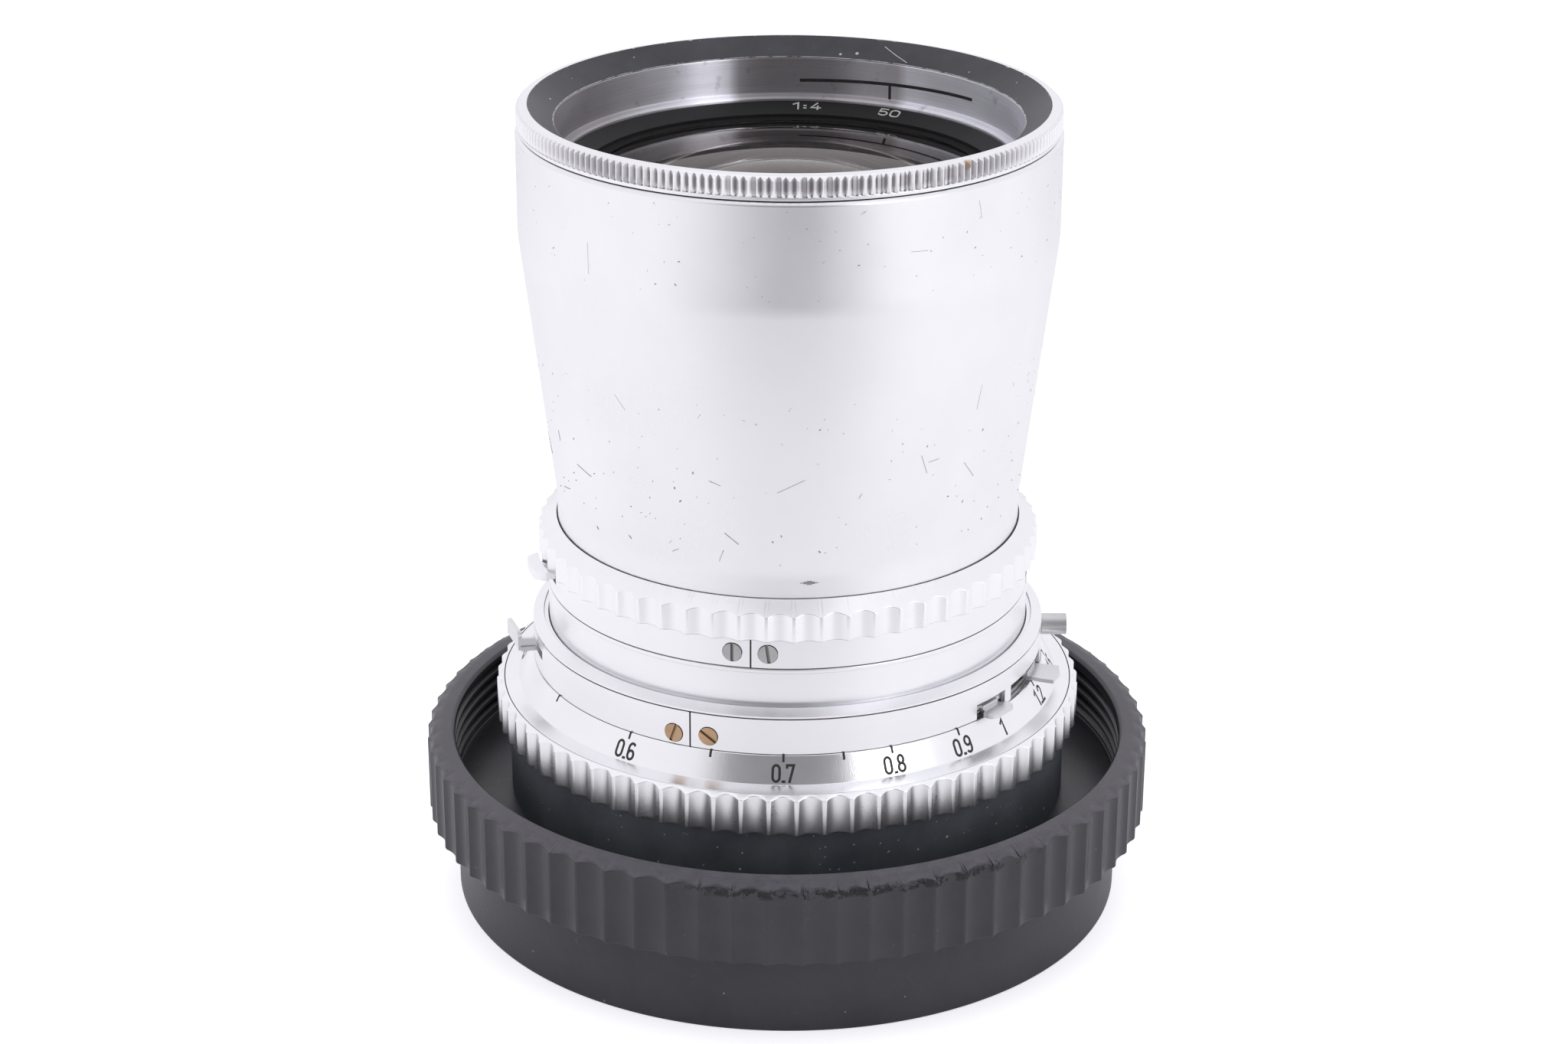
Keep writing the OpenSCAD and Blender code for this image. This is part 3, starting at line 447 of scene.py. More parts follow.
# Painted shade: the levers get a darker copy of the chrome.
LEVER = satin_chrome("satin_chrome_levers", level=0.8, rough=0.35, corner_shade=0.35)
PLASTIC = black_plastic()
LACQUER = socket_black()
GLASS = coated_glass()
SEAT = brushed_seat()
BRASS = turned_metal("brass_dust_and_shade", (0.66, 0.45, 0.28), 0.4, 0.9)
STEEL = turned_metal("turned_steel", grey(0.74), 0.34, 0.8)
SCREW = turned_metal("steel_screws_dust_and_shade", grey(0.6), 0.36, 1.0, 0.7)
INNER = black_paint("blackened_metal", 0.008, 0.55)
NAME_BLACK = black_paint("name_ring_black", 0.0035, 0.42, 0.1)
DIVIDER = black_paint("insulator_black", 0.015, 0.45)
BLADES = blade_steel()
BLACK_INK = ink("black_engraving", (0.012, 0.012, 0.013))
WHITE_INK = ink("white_engraving", (0.62, 0.62, 0.6))


# ---------- case base ----------

def thread_rows(azimuths, radius, depth, low, high, pitch):
    """Wall with a helical groove, running downwards; it fades out at both ends."""
    shape = [(0.0, 0.0), (0.15, 0.0), (0.42, 1.0), (0.6, 1.0), (0.87, 0.0)]
    turn = pitch * (azimuths - azimuths[0]) / 360
    turns = math.ceil((high - low) / pitch) + 1
    rows = []
    for k in range(turns, -2, -1):
        for share, groove in reversed(shape):
            z = np.clip(low + (k + share) * pitch + turn - pitch, low, high)
            fade = np.clip((z - low) / 0.9, 0, 1) * np.clip((high - z) / 0.9, 0, 1)
            rows.append((radius + depth * groove * fade, z, 0))
    return rows


def build_case_base():
    ribs, land, blunt = 72, 0.08, 0.015
    _, r_out, bottom, top = span("case_base")
    foot_r, foot_h = 52.1, 13.4
    floor_z, thread_r, well_r = 16.5, 52.1, 38.0
    shares = flute_shares(land, blunt, 9)
    azimuths = repeat_columns(ribs, shares, 92.0)
    azimuths = np.append(azimuths, azimuths[0] + 360)
    wall = flutes(azimuths, ribs, r_out, 0.6, land, 92.0, blunt)
    n = len(azimuths) - 1
    facing = np.exp(-((azimuths[:-1] - 360 + 82) / 38) ** 2) + np.exp(-((azimuths[:-1] + 82) / 38) ** 2)
    ragged = 0.12 * wander(n, 5) + 0.08 * wander(n, 14)
    chips = np.clip((wander(n, 7) - 0.25) * 4, 0, 1) * 0.45
    ragged = 0.03 * wander(n, 60) + (ragged - chips) * np.clip(facing, 0.06, 1)
    ragged = np.append(ragged, ragged[0])
    lip = top - 0.95 + (r_out - wall) * 0.35 + ragged
    rows = [
        (0, 2.4, 0), (40, 2.4), (40, floor_z - 3.2), (foot_r - 2.8, floor_z - 3.2),
        (foot_r - 2.8, bottom, 0.3), (foot_r, bottom, 0.4), (foot_r, foot_h, 0.25),
        (wall - 0.12, foot_h + 0.02 * ragged, 0.08), (wall, foot_h + 0.18, 0.08),
        (wall, (foot_h + top) / 2, 0), (wall, lip - 0.5, 0), (wall, lip, 0.16),
        (np.minimum(wall - 0.3, r_out - 0.9), lip + 0.45 - 0.4 * ragged, 0.14),
        (r_out - 2.0 + 0.3 * ragged, top - 0.04, 0.3), (thread_r + 0.5, top, 0.2), (thread_r, top - 0.5, 0.2),
    ]
    rows += thread_rows(azimuths, thread_r, 1.1, floor_z + 0.5, top - 0.9, 2.0)
    rows += [
        (thread_r, floor_z, 0.3), (well_r + 0.4, floor_z, 0.2), (well_r, floor_z - 0.4, 0.1),
        (well_r, 4.8), (0, 4.8, 0),
    ]
    piece = lathe("case_base_shell", rows, azimuths, "case", PLASTIC, steps=3, seam=True)
    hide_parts("case_base")


# ---------- focusing ----------

def build_focus_ring():
    count, land, blunt, start, depth = 70, 0.14, 0.022, 4.0, 0.8
    r_in, r_out, low, high = span("focus_ring")
    seat_r = span("distance_scale_ring")[1]
    azimuths = repeat_columns(count, flute_shares(land, blunt, 9), start)
    wall = flutes(azimuths, count, r_out, depth, land, start, blunt)
    top = high - (wall - seat_r) * 0.48
    rows = [
        (r_in, low + 0.3), (41.8, low + 0.3), (41.8, low), (wall - 0.1, low, 0.06), (wall, low + 0.12, 0.06),
        (wall, (low + top) / 2, 0), (wall, top - 0.04, 0.06),
        (np.minimum(wall - 0.08, r_out - 0.12), top + 0.04, 0.06),
        (seat_r + 0.12, high, 0.08), (seat_r + 0.12, high - 1.5), (r_in, high - 1.5),
    ]
    piece = lathe("focus_grip_ring", rows, azimuths, "focus", FLUTED)
    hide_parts("focus_ring")


SCALE_FOOT = (41.8, 35.05)
SCALE_HEAD = (39.65, 38.75)


def build_distance_scale_ring():
    r_in, r_out, low, high = span("distance_scale_ring")
    rows = [
        (r_in, low), (r_out, low), (r_out, low + 1.5, 0.1),
        (SCALE_FOOT[0] + 0.15, SCALE_FOOT[1] - 0.03, 0.25),
        (SCALE_FOOT[0], SCALE_FOOT[1], 0.1), (SCALE_HEAD[0], high, 0.12), (r_in, high),
    ]
    piece = lathe("distance_scale_ring_body", rows, around(480), "focus", SCALE)
    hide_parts("distance_scale_ring")


# ---------- numerals and marks ----------

def arc(cx, cy, rx, ry, start, end, steps=12):
    turns = np.radians(np.linspace(start, end, steps))
    return [(cx + rx * math.cos(t), cy + ry * math.sin(t)) for t in turns]


def loop(cx, cy, rx, ry):
    return arc(cx, cy, rx, ry, 0, 360, 25)


# Centre lines of the numerals, in a box one unit wide and two units high
STROKES = {
    "0": [arc(0.5, 1.48, 0.5, 0.52, 0, 180) + arc(0.5, 0.52, 0.5, 0.52, 180, 360) + [(1.0, 1.48)]],
    "1": [[(0.12, 1.55), (0.62, 2.0), (0.62, 0.0)]],
    "2": [arc(0.5, 1.5, 0.48, 0.5, 170, -35) + [(0.02, 0.0), (1.0, 0.0)]],
    "3": [arc(0.48, 1.52, 0.46, 0.48, 155, -90) + arc(0.48, 0.53, 0.52, 0.53, 90, -155)],
    "4": [[(0.62, 2.0), (0.0, 0.5), (1.0, 0.5)], [(0.72, 1.05), (0.72, 0.0)]],
    "5": [[(0.9, 2.0), (0.12, 2.0), (0.05, 1.08)] + arc(0.48, 0.62, 0.5, 0.62, 125, -150)],
    "6": [arc(0.5, 1.45, 0.5, 0.55, 50, 180) + arc(0.5, 0.55, 0.5, 0.55, 180, 540, 25)],
    "7": [[(0.0, 1.75), (0.0, 2.0), (1.0, 2.0), (0.36, 0.0)]],
    "8": [loop(0.5, 1.5, 0.42, 0.5), loop(0.5, 0.51, 0.5, 0.51)],
    "9": [arc(0.5, 0.55, 0.5, 0.55, 230, 360) + arc(0.5, 1.45, 0.5, 0.55, 0, 360, 25)],
    ".": [[(0.12, 0.0), (0.30, 0.0)]],
    ":": [[(0.12, 0.35), (0.30, 0.35)], [(0.12, 1.15), (0.30, 1.15)]],
    "~": [loop(0.5, 0.9, 0.5, 0.42), loop(1.5, 0.9, 0.5, 0.42)],
}
ADVANCE = {".": 0.72, ":": 0.9, "1": 1.15, "~": 2.4}


class Face:
    """A conical or cylindrical face to draw on, from its lower to its upper (r, z) edge.
    u runs along it in mm from an azimuth, v up it from the lower edge, h out of it."""

    def __init__(self, lower, upper, inward=False):
        self.lower, self.upper = np.array(lower, float), np.array(upper, float)
        side = self.upper - self.lower
        self.length = float(np.hypot(*side))
        self.up = side / self.length
        self.sign = -1 if inward else 1
        self.out = np.array([self.up[1], -self.up[0]]) * self.sign

    def point(self, azimuth, u, v, h):
        r, z = self.lower + self.up * v + self.out * h
        a = math.radians(azimuth) + self.sign * u / self.lower[0]
        return (r * math.cos(a), r * math.sin(a), z)


def ribbon(path, width):
    """Left and right edge of a stroke along a path, with square ends."""
    p = np.array(path, float)
    d = np.gradient(p, axis=0) if len(p) > 2 else np.array([p[1] - p[0]] * 2)
    closed = np.hypot(*(p[0] - p[-1])) < 1e-6
    if closed:
        d[0] = d[-1] = p[1] - p[-2]
    for k in range(1, len(p) - 1):
        a, b = p[k] - p[k - 1], p[k + 1] - p[k]
        d[k] = a / np.hypot(*a) + b / np.hypot(*b)
    d /= np.hypot(d[:, 0], d[:, 1])[:, None]
    normal = np.stack([-d[:, 1], d[:, 0]], axis=1)
    if not closed:
        p[0] -= d[0] * width / 2
        p[-1] += d[-1] * width / 2
    reach = np.ones(len(p))
    for k in range(1, len(p) - 1):
        a = (p[k] - p[k - 1]) / np.hypot(*(p[k] - p[k - 1]))
        reach[k] = min(1.8, 1 / max(0.3, abs(np.dot([-a[1], a[0]], normal[k]))))
    half = normal * (width / 2 * reach)[:, None]
    return p + half, p - half


class Marks:
    """Collects thin slabs that follow a face, and makes one piece of them."""

    def __init__(self, face, proud=0.012, sunk=0.06):
        self.face, self.proud, self.sunk = face, proud, sunk
        self.co, self.quads = [], []

    def stroke(self, azimuth, path, width):
        left, right = ribbon(path, width)
        base = len(self.co)
        for l, r in zip(left, right):
            for (u, v), h in ((l, self.proud), (r, self.proud), (r, -self.sunk), (l, -self.sunk)):
                self.co.append(self.face.point(azimuth, u, v, h))
        n = len(left)
        for k in range(n - 1):
            a, b = base + 4 * k, base + 4 * (k + 1)
            for j in range(4):
                i = (j + 1) % 4
                self.quads.append((a + j, b + j, b + i, a + i))
        self.quads.append((base, base + 1, base + 2, base + 3))
        end = base + 4 * (n - 1)
        self.quads.append((end + 3, end + 2, end + 1, end))

    def number(self, text, azimuth, v, height, width, breadth=0.62):
        """A numeral centred on an azimuth, standing on v. breadth is its width to half its height."""
        unit = breadth * height / 2
        rise = (height - width) / 2
        total = sum(ADVANCE.get(c, 1.38) for c in text) - 0.38
        x = -total * unit / 2
        for c in text:
            for path in STROKES[c]:
                points = [(x + px * unit, v + width / 2 + py * rise) for px, py in path]
                self.stroke(azimuth, points, width)
            x += ADVANCE.get(c, 1.38) * unit

    def tick(self, azimuth, v0, v1, width):
        self.stroke(azimuth, [(0, v0), (0, v1)], width)

    def finish(self, name, body, material):
        piece = mesh_object(name, self.co, self.quads, body, material)
        bm = bmesh.new()
        bm.from_mesh(piece.data)
        bmesh.ops.recalc_face_normals(bm, faces=bm.faces)
        bm.to_mesh(piece.data)
        bm.free()
        piece.data.shade_flat()
        return piece


def scale_azimuth(distance):
    """Azimuth of a focusing distance in metres on the scale, with infinity at the index."""
    return INDEX_AZIMUTH - (72.55 / (distance - 0.19) if distance else 0)


def build_distance_numbers():
    face = Face(SCALE_FOOT, SCALE_HEAD)
    marks = Marks(face)
    top = face.length - 0.03
    for text in ("0.5", "0.6", "0.7", "0.8", "0.9", "1", "1.2", "1.5", "2", "3", "5", "10"):
        azimuth = scale_azimuth(float(text))
        marks.tick(azimuth, top - 0.75, top, 0.36)
        marks.number(text, azimuth, 0.3, 2.75, 0.38, 0.74)
    for between in (0.55, 0.65, 0.75):
        marks.tick(scale_azimuth(between), top - 0.75, top, 0.36)
    marks.tick(INDEX_AZIMUTH, top - 0.75, top, 0.36)
    marks.number("~", INDEX_AZIMUTH, 0.3, 2.75, 0.38, 0.74)
    marks.finish("distance_numbers", "focus", BLACK_INK)


def build_index_marks():
    r, low, high = span("depth_scale_band")[1:]
    marks = Marks(Face((r, low), (r, high)))
    marks.tick(INDEX_AZIMUTH, 0.05, 2.6, 0.3)
    for text, offset in (("8", 7.5), ("11", 12), ("16", 18), ("22", 25.5)):
        for side in (-1, 1):
            azimuth = INDEX_AZIMUTH + side * offset
            marks.tick(azimuth, 0.05, 1.3, 0.2)
            marks.number(text, azimuth, 1.75, 1.9, 0.22)
    marks.finish("depth_of_field_marks", "lens_mount", BLACK_INK)


def build_aperture_numbers():
    r, low, high = span("aperture_band")[1:]
    marks = Marks(Face((r, low), (r, high)))
    step = 60 / 5
    for k, text in enumerate(("4", "5.6", "8", "11", "16", "22")):
        azimuth = INDEX_AZIMUTH - k * step
        marks.tick(azimuth, 0.1, 0.9, 0.2)
        marks.number(text, azimuth, 1.35, 2.1, 0.24)
    marks.finish("aperture_numbers", "aperture", BLACK_INK)


def build_seam_shadow():
    """Painted shadow: a black strip in the slit where each strip meets its own end."""
    for node, azimuth, body in BAND_SEAMS:
        r, low, high = span(node)[1:]
        marks = Marks(Face((r - 0.1, low), (r - 0.1, high)), 0.05, 0.1)
        # Painted shadow in the slit, drawn in black engraving ink.
        marks.tick(azimuth, 0.13, high - low - 0.13, 0.2)
        marks.finish(node + "_seam_shadow", body, BLACK_INK)


def build_filter_marks():
    """Two engraved lines on the wall of the filter well: a long one and a short stem below it."""
    low, high = span("filter_seat")[2:]
    marks = Marks(Face((WELL_RADIUS, low), (WELL_RADIUS, high), inward=True), 0.02, 0.06)
    level = high - 3.25 - low
    azimuths = np.linspace(86.9, 36.6, 30)
    path = [(-math.radians(a - 61) * WELL_RADIUS, level + 0.35 * (61 - a) / 25) for a in azimuths]
    marks.stroke(61, path, 0.5)
    marks.stroke(63.1, [(0, level - 0.1), (0, level - 2.6)], 0.45)
    marks.finish("filter_well_marks", "front_unit", BLACK_INK)


def build_name_ring():
    """A lettered cone, and inside it a step down to the glass, painted near-black as shade."""
    r_in, r_out, low, high = span("name_ring")
    inner, outer = (30.5, 115.35), (32.9, 116.65)
    rows = [(r_in, low), (r_out, low), (r_out, high, 0.08), (outer[0], outer[1], 0.08),
            (inner[0], inner[1], 0.06), (inner[0] - 0.12, 114.85, 0.05), (28.7, 114.8, 0.05)]
    piece = lathe("name_ring_body", rows, around(360), "front_unit", NAME_BLACK)
    # Painted shade: the inner step is made darker than the ring's own black.
    piece.data.materials.append(black_paint("painted_shade_step", 0.002, 0.8))
    for face in piece.data.polygons:
        x, y = face.center.xy / MM
        if math.hypot(x, y) < inner[0] - 0.02:
            face.material_index = 1
    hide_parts("name_ring")
    # An inward face is drawn from its lower (inner) to its upper (outer) edge
    marks = Marks(Face(inner, outer, inward=True), 0.02, 0.06)
    marks.face.out = np.array([-marks.face.up[1], marks.face.up[0]])
    marks.number("1:4", 85.2, 1.0, 1.6, 0.25, 1.7)
    marks.number("50", 61.1, 1.0, 1.6, 0.25, 1.7)
    marks.finish("name_ring_numbers", "front_unit", WHITE_INK)


# ---------- front unit ----------

def build_slide_sleeve():
    low, high = span("slide_sleeve")[2:]
    r = 36.9
    rows = [
        (35.4, low), (r, low, 0.1), (r, 50.55, 0.03), (r + 0.1, 50.6, 0.03),
        (r + 0.1, 51.1, 0.05), (r, high), (24.4, high), (24.4, 48.4), (35.4, 46.5),
    ]
    piece = lathe("slide_sleeve_body", rows, around(480), "front_unit", CHROME)
    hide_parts("slide_sleeve")


def build_speed_ring():
    count, land, blunt, start = 60, 0.12, 0.022, 1.0
    r_in, r_out, low, high = span("speed_ring")
    neck = 35.45
    azimuths = repeat_columns(count, flute_shares(land, blunt, 9), start)
    wall = flutes(azimuths, count, r_out, 0.67, land, start, blunt)
    top = high - (wall - neck) * 0.64
    rows = [
        (r_in, low), (wall - 0.08, low, 0.05), (wall, low + 0.1, 0.05), (wall, (low + top) / 2, 0),
        (wall, top - 0.03, 0.05), (np.minimum(wall - 0.07, r_out - 0.1), top + 0.03, 0.05),
        (neck, high, 0.1), (neck, 59.3), (r_in, 59.3),
    ]
    piece = lathe("speed_ring_body", rows, azimuths, "speed", FLUTED)
    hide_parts("speed_ring")


def build_front_barrel():
    _, r_out, low, high = span("front_barrel")
    foot_r = 35.25
    cone_z, cylinder_z, middle_z = 65.3, 106.5, 86
    middle_r = foot_r + (r_out - foot_r) * (middle_z - cone_z) / (cylinder_z - cone_z)
    rows = [
        (31.8, low), (foot_r - 0.1, low, 0.1), (foot_r, low + 0.15, 0.1), (foot_r, cone_z, 1.0),
        (middle_r, middle_z, 0), (r_out, cylinder_z, 1.2), (r_out, 114, 0),
        (r_out, high - 0.45, 0.15), (r_out - 0.45, high, 0.15), (38.25, high), (38.25, 118.6),
        (36.6, 118.6), (36.6, 113.8), (34.8, 112.4), (34.8, 104), (31.8, 72),
    ]
    piece = lathe("front_barrel_shell", rows, around(480), "front_unit", BARREL)
    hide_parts("front_barrel")


def build_filter_seat():
    r_in, r_out, low, high = span("filter_seat")
    well = WELL_RADIUS
    rows = [
        (r_in, low), (r_out, low), (r_out, high - 0.3), (r_out - 0.3, high, 0.1), (well + 0.1, high, 0.08),
        (well, high - 0.1, 0.08), (well, WELL_FLOOR, 0.12), (33.6, WELL_FLOOR - 0.3, 0.1),
        (r_in, WELL_FLOOR - 0.6, 0.08),
    ]
    piece = lathe("filter_seat_ring", rows, around(480), "front_unit", SEAT)
    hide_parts("filter_seat")


def build_retaining_ring():
    teeth, land, depth = 216, 0.12, 0.5
    _, r_out, low, high = span("retaining_ring")
    azimuths = repeat_columns(teeth, [0, land, (1 + land) / 2 - 0.015, (1 + land) / 2 + 0.015], 0)
    u = (azimuths * teeth / 360) % 1
    wall = r_out - depth * np.where(u <= land + 1e-6, 0, 1)
    bevel_top, bevel_foot = 38.3, 34.53
    rows = [
        (37, low), (38.15, low), (38.15, 122.35), (39.8, 122.35, 0.1), (39.8, 122.85, 0.05),
        (wall, 123.2 - (r_out - wall) * 0.6, 0), (wall, 124.3, 0), (wall, 125.25 + (r_out - wall) * 0.9, 0),
        (39.45, 125.78, 0.1), (bevel_top + 0.15, high, 0.1), (bevel_top, high - 0.02, 0.05),
        (bevel_foot, 123.4, 0.03), (bevel_foot + 0.03, 123.36, 0), (37, 123.36),
    ]
    piece = lathe("knurled_retaining_ring", rows, azimuths, "retainer", KNURL)
    lips = ((bevel_top, 0.2, 0.2), (bevel_foot + 0.03, 0.09, 0.8))
    paint = black_paint("bezel_black", 0.04, 0.33, 0.5, 0.12, lips)
    piece.data.materials.append(paint)
    for face in piece.data.polygons:
        x, y = face.center.xy / MM
        if math.hypot(x, y) < bevel_top + 0.02 and face.normal.z > 0.1:
            face.material_index = 1
    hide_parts("retaining_ring")


def scatter_marks(marks, count):
    """Short hairline scratches and specks all over a face of the barrel."""
    for azimuth, share, turn, size, kind in rng.random((count, 5)):
        length = 0.12 + 4.5 * size ** 4 if kind < 0.25 else 0.07 + 0.13 * size ** 3
        width = 0.035 + 0.025 * size if kind < 0.25 else length
        slope = math.radians(180 * turn)
        steps = np.linspace(-length / 2, length / 2, 2 + int(length / 0.5))
        v = 0.5 * length + share * (marks.face.length - length)
        path = [(t * math.cos(slope), v + t * math.sin(slope)) for t in steps]
        marks.stroke(360 * azimuth, path, width)


def build_wear_marks():
    """Scratches: a few dark ones on the barrel and one through the black of the bezel."""
    r, top = span("front_barrel")[1], span("front_barrel")[3]
    barrel = Marks(Face((r, 106.5), (r, top)), 0.01, 0.04)
    start, end = (-18.2, 114.1), (-4.9, 112.8)
    run = math.radians(end[0] - start[0]) * r
    barrel.stroke(start[0], [(0, start[1] - 106.5), (run * 0.5, 113.5 - 106.5), (run, end[1] - 106.5)], 0.22)
    barrel.finish("barrel_scratches", "front_unit", BLACK_INK)
    worn = ink("worn_chrome", (0.33, 0.32, 0.33))
    foot = Marks(Face((35.25, 60), (35.25, 65.2)), 0.01, 0.04)
    for half, rise in ((0.3, -0.24), (0.75, -0.12), (1.25, 0.0), (0.75, 0.12), (0.3, 0.24)):
        foot.stroke(-85, [(-half, 4.1 + rise), (0, 4.1 + rise), (half, 4.1 + rise)], 0.14)
    foot.finish("barrel_nick", "front_unit", worn)
    for name, lower, upper, count in (("upper", (r, 107.2), (r, top - 0.6), 170),
                                      ("lower", (35.45, 66.5), (r - 0.1, 106.0), 520)):
        marks = Marks(Face(lower, upper), 0.006, 0.04)
        scatter_marks(marks, count)
        marks.finish(name + "_barrel_marks", "front_unit", worn)
    bezel_foot, bezel_top = (34.75, 123.56), (38.3, 125.93)
    bezel = Marks(Face(bezel_foot, bezel_top, inward=True), 0.015, 0.04)
    bezel.face.out = np.array([-bezel.face.up[1], bezel.face.up[0]])
    bezel.stroke(62.5, [(-2.35, 2.9), (-0.2, 1.5), (2.2, 0.3)], 0.12)
    bezel.finish("bezel_scratch", "retainer", WHITE_INK)


# ---------- optics ----------

def cap(edge_r, z_vertex, radius, facing, steps=20):
    """Rows of a spherical face from the axis out to the edge; radius above 0 bulges outwards."""
    rows = []
    for k in range(steps + 1):
        r = edge_r * k / steps
        sag = abs(radius) - math.sqrt(radius * radius - r * r)
        rows.append((r, z_vertex - facing * math.copysign(sag, radius), 0))
    return rows


def build_lens(node, thick, front_r, back_r, body="front_unit"):
    edge = span(node)[1]
    high = span(node)[3]
    z_front = high
    if front_r < 0:
        z_front = high - (abs(front_r) - math.sqrt(front_r ** 2 - edge ** 2))
    back_edge = edge if back_r > 0 else 0.87 * edge
    rows = cap(back_edge, z_front - thick, back_r, -1)
    if back_r < 0:
        rows.append((edge, rows[-1][1], 0.1))
    rows += list(reversed(cap(edge, z_front, front_r, 1)))
    piece = lathe(node + "_glass", rows, around(192), body, GLASS, seam=False)
    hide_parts(node)


# ---------- CAD nodes that stay ----------

def refine(node, material, bevel=0.0):
    """Gives a CAD node its finish, and small rounded edges where it shows."""
    piece = NODES[node]
    piece.data.materials.clear()
    piece.data.materials.append(material)
    if bevel:
        flat = piece.modifiers.new("flat_faces", "DECIMATE")
        flat.decimate_type = "DISSOLVE"
        flat.angle_limit = math.radians(1.5)
        edge = piece.modifiers.new("edge_bevel", "BEVEL")
        edge.width = bevel * MM
        edge.segments = 2
        edge.limit_method = "ANGLE"
        edge.angle_limit = math.radians(40)
        edge.harden_normals = True


def finish_cad_nodes():
    brass = turned_metal("cam_brass", (0.66, 0.5, 0.27), 0.3, 0.3)
    springs = turned_metal("spring_steel", grey(0.42), 0.28, 0.3)
    for node in ("index_ring", "depth_scale_band", "aperture_ring", "aperture_band"):
        refine(node, CHROME)
    for node in ("preview_lever", "sync_lever", "self_timer_lever"):
        refine(node, LEVER, 0.1)
    refine("coupling_tab", CHROME, 0.1)
    refine("terminal_sleeve", STEEL, 0.08)
    refine("terminal_insulator", DIVIDER)
    refine("terminal_pin", BRASS)
    refine("depth_band_screws", BRASS, 0.05)
    refine("aperture_band_screws", SCREW, 0.05)
    refine("socket_screws", STEEL)
    refine("bayonet_socket", LACQUER)
    refine("mount_plate", CHROME)
    refine("guide_tube", CHROME)
    refine("focus_cam", springs)
    refine("cam_pins", STEEL)
    refine("cocking_shaft", STEEL)
    refine("mainspring", springs)
    for node in ("shutter_case", "blade_divider", "shutter_cover", "front_cell", "rear_cell",
                 "front_spacer", "rear_lock_ring"):
        refine(node, INNER)
    for node in ("iris_cam_ring", "shutter_cam_ring"):
        refine(node, brass)
    for k in range(1, 6):
        refine(f"iris_blade_{k}", BLADES)
        refine(f"shutter_blade_{k}", BLADES)
    for node in ("third_lens", "fourth_lens", "doublet_front_lens", "doublet_rear_lens", "rear_lens"):
        refine(node, GLASS)


# ---------- stage ----------

def build_floor():
    """Plain white sweep. Seen in reflections, it darkens towards the camera side of the room."""
    size = 6.0
    mesh = bpy.data.meshes.new("floor")
    bm = bmesh.new()
    bmesh.ops.create_grid(bm, x_segments=24, y_segments=24, size=size / 2)
    bm.to_mesh(mesh)
    bm.free()
    floor = bpy.data.objects.new("floor", mesh)
    bpy.context.scene.collection.objects.link(floor)
    f = Finish("white_sweep", roughness=0.6)
    x, y = f.axes()[:2]
    grain = f.between(f.noise(0.01, 3.0), 0.3, 0.7, 0.9, 0.94)
    path = f.node("ShaderNodeLightPath").outputs
    dark = f.math("MULTIPLY", f.between(y, -130, -330), f.between(f.math("ABSOLUTE", x), 330, 60))
    dark = f.math("MAXIMUM", dark, f.between(y, 80, 500, 0, 0.35))
    dark = f.math("MULTIPLY", dark, path["Is Glossy Ray"])
    white = f.node("ShaderNodeCombineColor", {0: grain, 1: grain, 2: grain}).outputs[0]
    f.set("Color", f.mix(dark, white, (0.42, 0.41, 0.43)))
    lit = f.math("MULTIPLY", path["Is Glossy Ray"], f.math("SUBTRACT", 0.06, f.math("MULTIPLY", dark, 0.06)))
    glow = f.math("ADD", f.math("MULTIPLY", path["Is Camera Ray"], 0.55), lit)
    f.set("Emission Color", (0.97, 0.97, 1.0))
    f.set("Emission Strength", glow)
    mesh.materials.append(f.material)


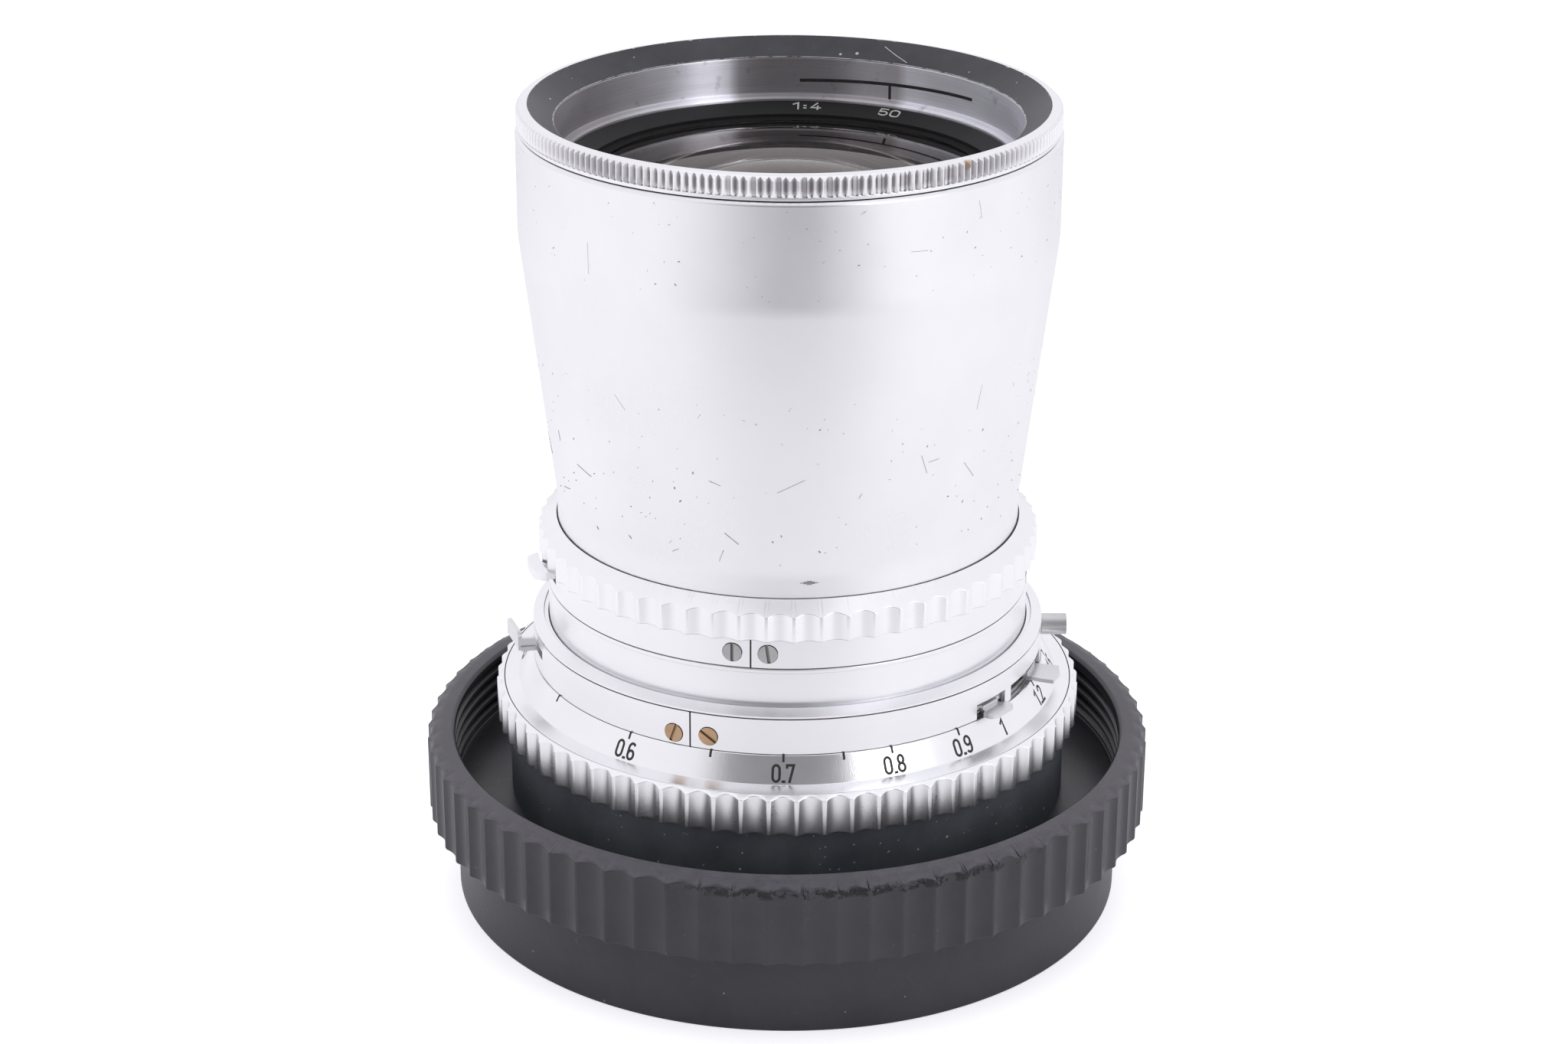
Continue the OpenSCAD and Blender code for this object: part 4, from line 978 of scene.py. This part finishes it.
def build_world():
    """Bright tent all round, with the dark gap of the camera's opening."""
    world = bpy.data.worlds.new("studio")
    bpy.context.scene.world = world
    world.use_nodes = True
    tree = world.node_tree
    nodes, links = tree.nodes, tree.links
    nodes.clear()

    def add(kind, **props):
        made = nodes.new(kind)
        for key, value in props.items():
            setattr(made, key, value)
        return made

    def math_node(operation, a, b=0.0):
        made = add("ShaderNodeMath", operation=operation)
        for socket, value in zip(made.inputs, (a, b)):
            if isinstance(value, bpy.types.NodeSocket):
                links.new(value, socket)
            else:
                socket.default_value = value
        return made.outputs[0]

    def ramp(value, low, high, to_low, to_high):
        made = add("ShaderNodeMapRange", clamp=True, interpolation_type="SMOOTHSTEP")
        links.new(value, made.inputs["Value"])
        for key, number in zip(("From Min", "From Max", "To Min", "To Max"), (low, high, to_low, to_high)):
            made.inputs[key].default_value = number
        return made.outputs[0]

    coords = add("ShaderNodeTexCoord").outputs["Generated"]
    split = add("ShaderNodeSeparateXYZ")
    links.new(coords, split.inputs[0])
    x, y, z = split.outputs
    azimuth = math_node("ARCTAN2", math_node("ABSOLUTE", x), math_node("MULTIPLY", y, -1.0))
    opening = math_node("MULTIPLY", ramp(azimuth, math.radians(28), math.radians(35), 1, 0),
                        ramp(z, 0.86, 0.98, 1, 0))
    rays = add("ShaderNodeLightPath").outputs
    turn = math_node("ARCTAN2", x, math_node("MULTIPLY", y, -1.0))
    box = math_node("MULTIPLY", ramp(turn, math.radians(31), math.radians(35), 0, 1),
                    ramp(turn, math.radians(50), math.radians(62), 1, 0))
    box = math_node("MULTIPLY", box, ramp(z, 0.75, 0.9, 1, 0))
    bright = math_node("ADD", math_node("MULTIPLY", box, 1.6), ramp(z, 0.8, 1.0, 0, 0.12))
    bright = math_node("MULTIPLY", bright, rays["Is Glossy Ray"])
    camera = rays["Is Camera Ray"]
    walls = math_node("SUBTRACT", 1.15, math_node("MULTIPLY", rays["Is Glossy Ray"], 0.22))
    level = math_node("ADD", bright, math_node("SUBTRACT", walls, math_node("MULTIPLY", opening, 0.68)))
    shown = math_node("ADD", math_node("MULTIPLY", camera, 1.0),
                      math_node("MULTIPLY", math_node("SUBTRACT", 1.0, camera), level))
    tent = add("ShaderNodeBackground")
    tint = add("ShaderNodeMix", data_type="RGBA")
    links.new(camera, tint.inputs["Factor"])
    tint.inputs[6].default_value = (0.968, 0.958, 1.0, 1)
    tint.inputs[7].default_value = (1, 1, 1, 1)
    links.new(tint.outputs[2], tent.inputs["Color"])
    links.new(shown, tent.inputs["Strength"])
    links.new(tent.outputs[0], add("ShaderNodeOutputWorld").inputs[0])


def build_camera():
    """Looks down at the lens from the front; the distance is from the lens axis."""
    distance, height, pitch, roll = 0.46625, 0.2514, 22.418, 0.219
    data = bpy.data.cameras.new("camera")
    data.sensor_fit = "HORIZONTAL"
    data.sensor_width = 36
    data.lens = 75.26
    camera = bpy.data.objects.new("camera", data)
    bpy.context.scene.collection.objects.link(camera)
    camera.location = (-0.00058, -distance, height)
    camera.rotation_mode = "ZYX"
    camera.rotation_euler = (math.radians(90 - pitch), 0, math.radians(roll))
    bpy.context.scene.camera = camera


def set_light_paths():
    scene = bpy.context.scene
    scene.view_settings.view_transform = "Standard"
    scene.cycles.max_bounces = 10
    scene.cycles.glossy_bounces = 6
    scene.cycles.diffuse_bounces = 3
    scene.cycles.transmission_bounces = 10
    scene.cycles.caustics_reflective = False
    scene.cycles.caustics_refractive = False
    scene.cycles.use_denoising = True


build_case_base()
build_focus_ring()
build_distance_scale_ring()
build_distance_numbers()
build_index_marks()
build_aperture_numbers()
build_slide_sleeve()
build_speed_ring()
build_front_barrel()
build_filter_seat()
build_seam_shadow()
build_filter_marks()
build_name_ring()
build_retaining_ring()
build_wear_marks()
build_lens("front_lens", 4.0, 140, -46)
build_lens("second_lens", 9.8, 60, 80)
finish_cad_nodes()
build_floor()
build_world()
build_camera()
set_light_paths()
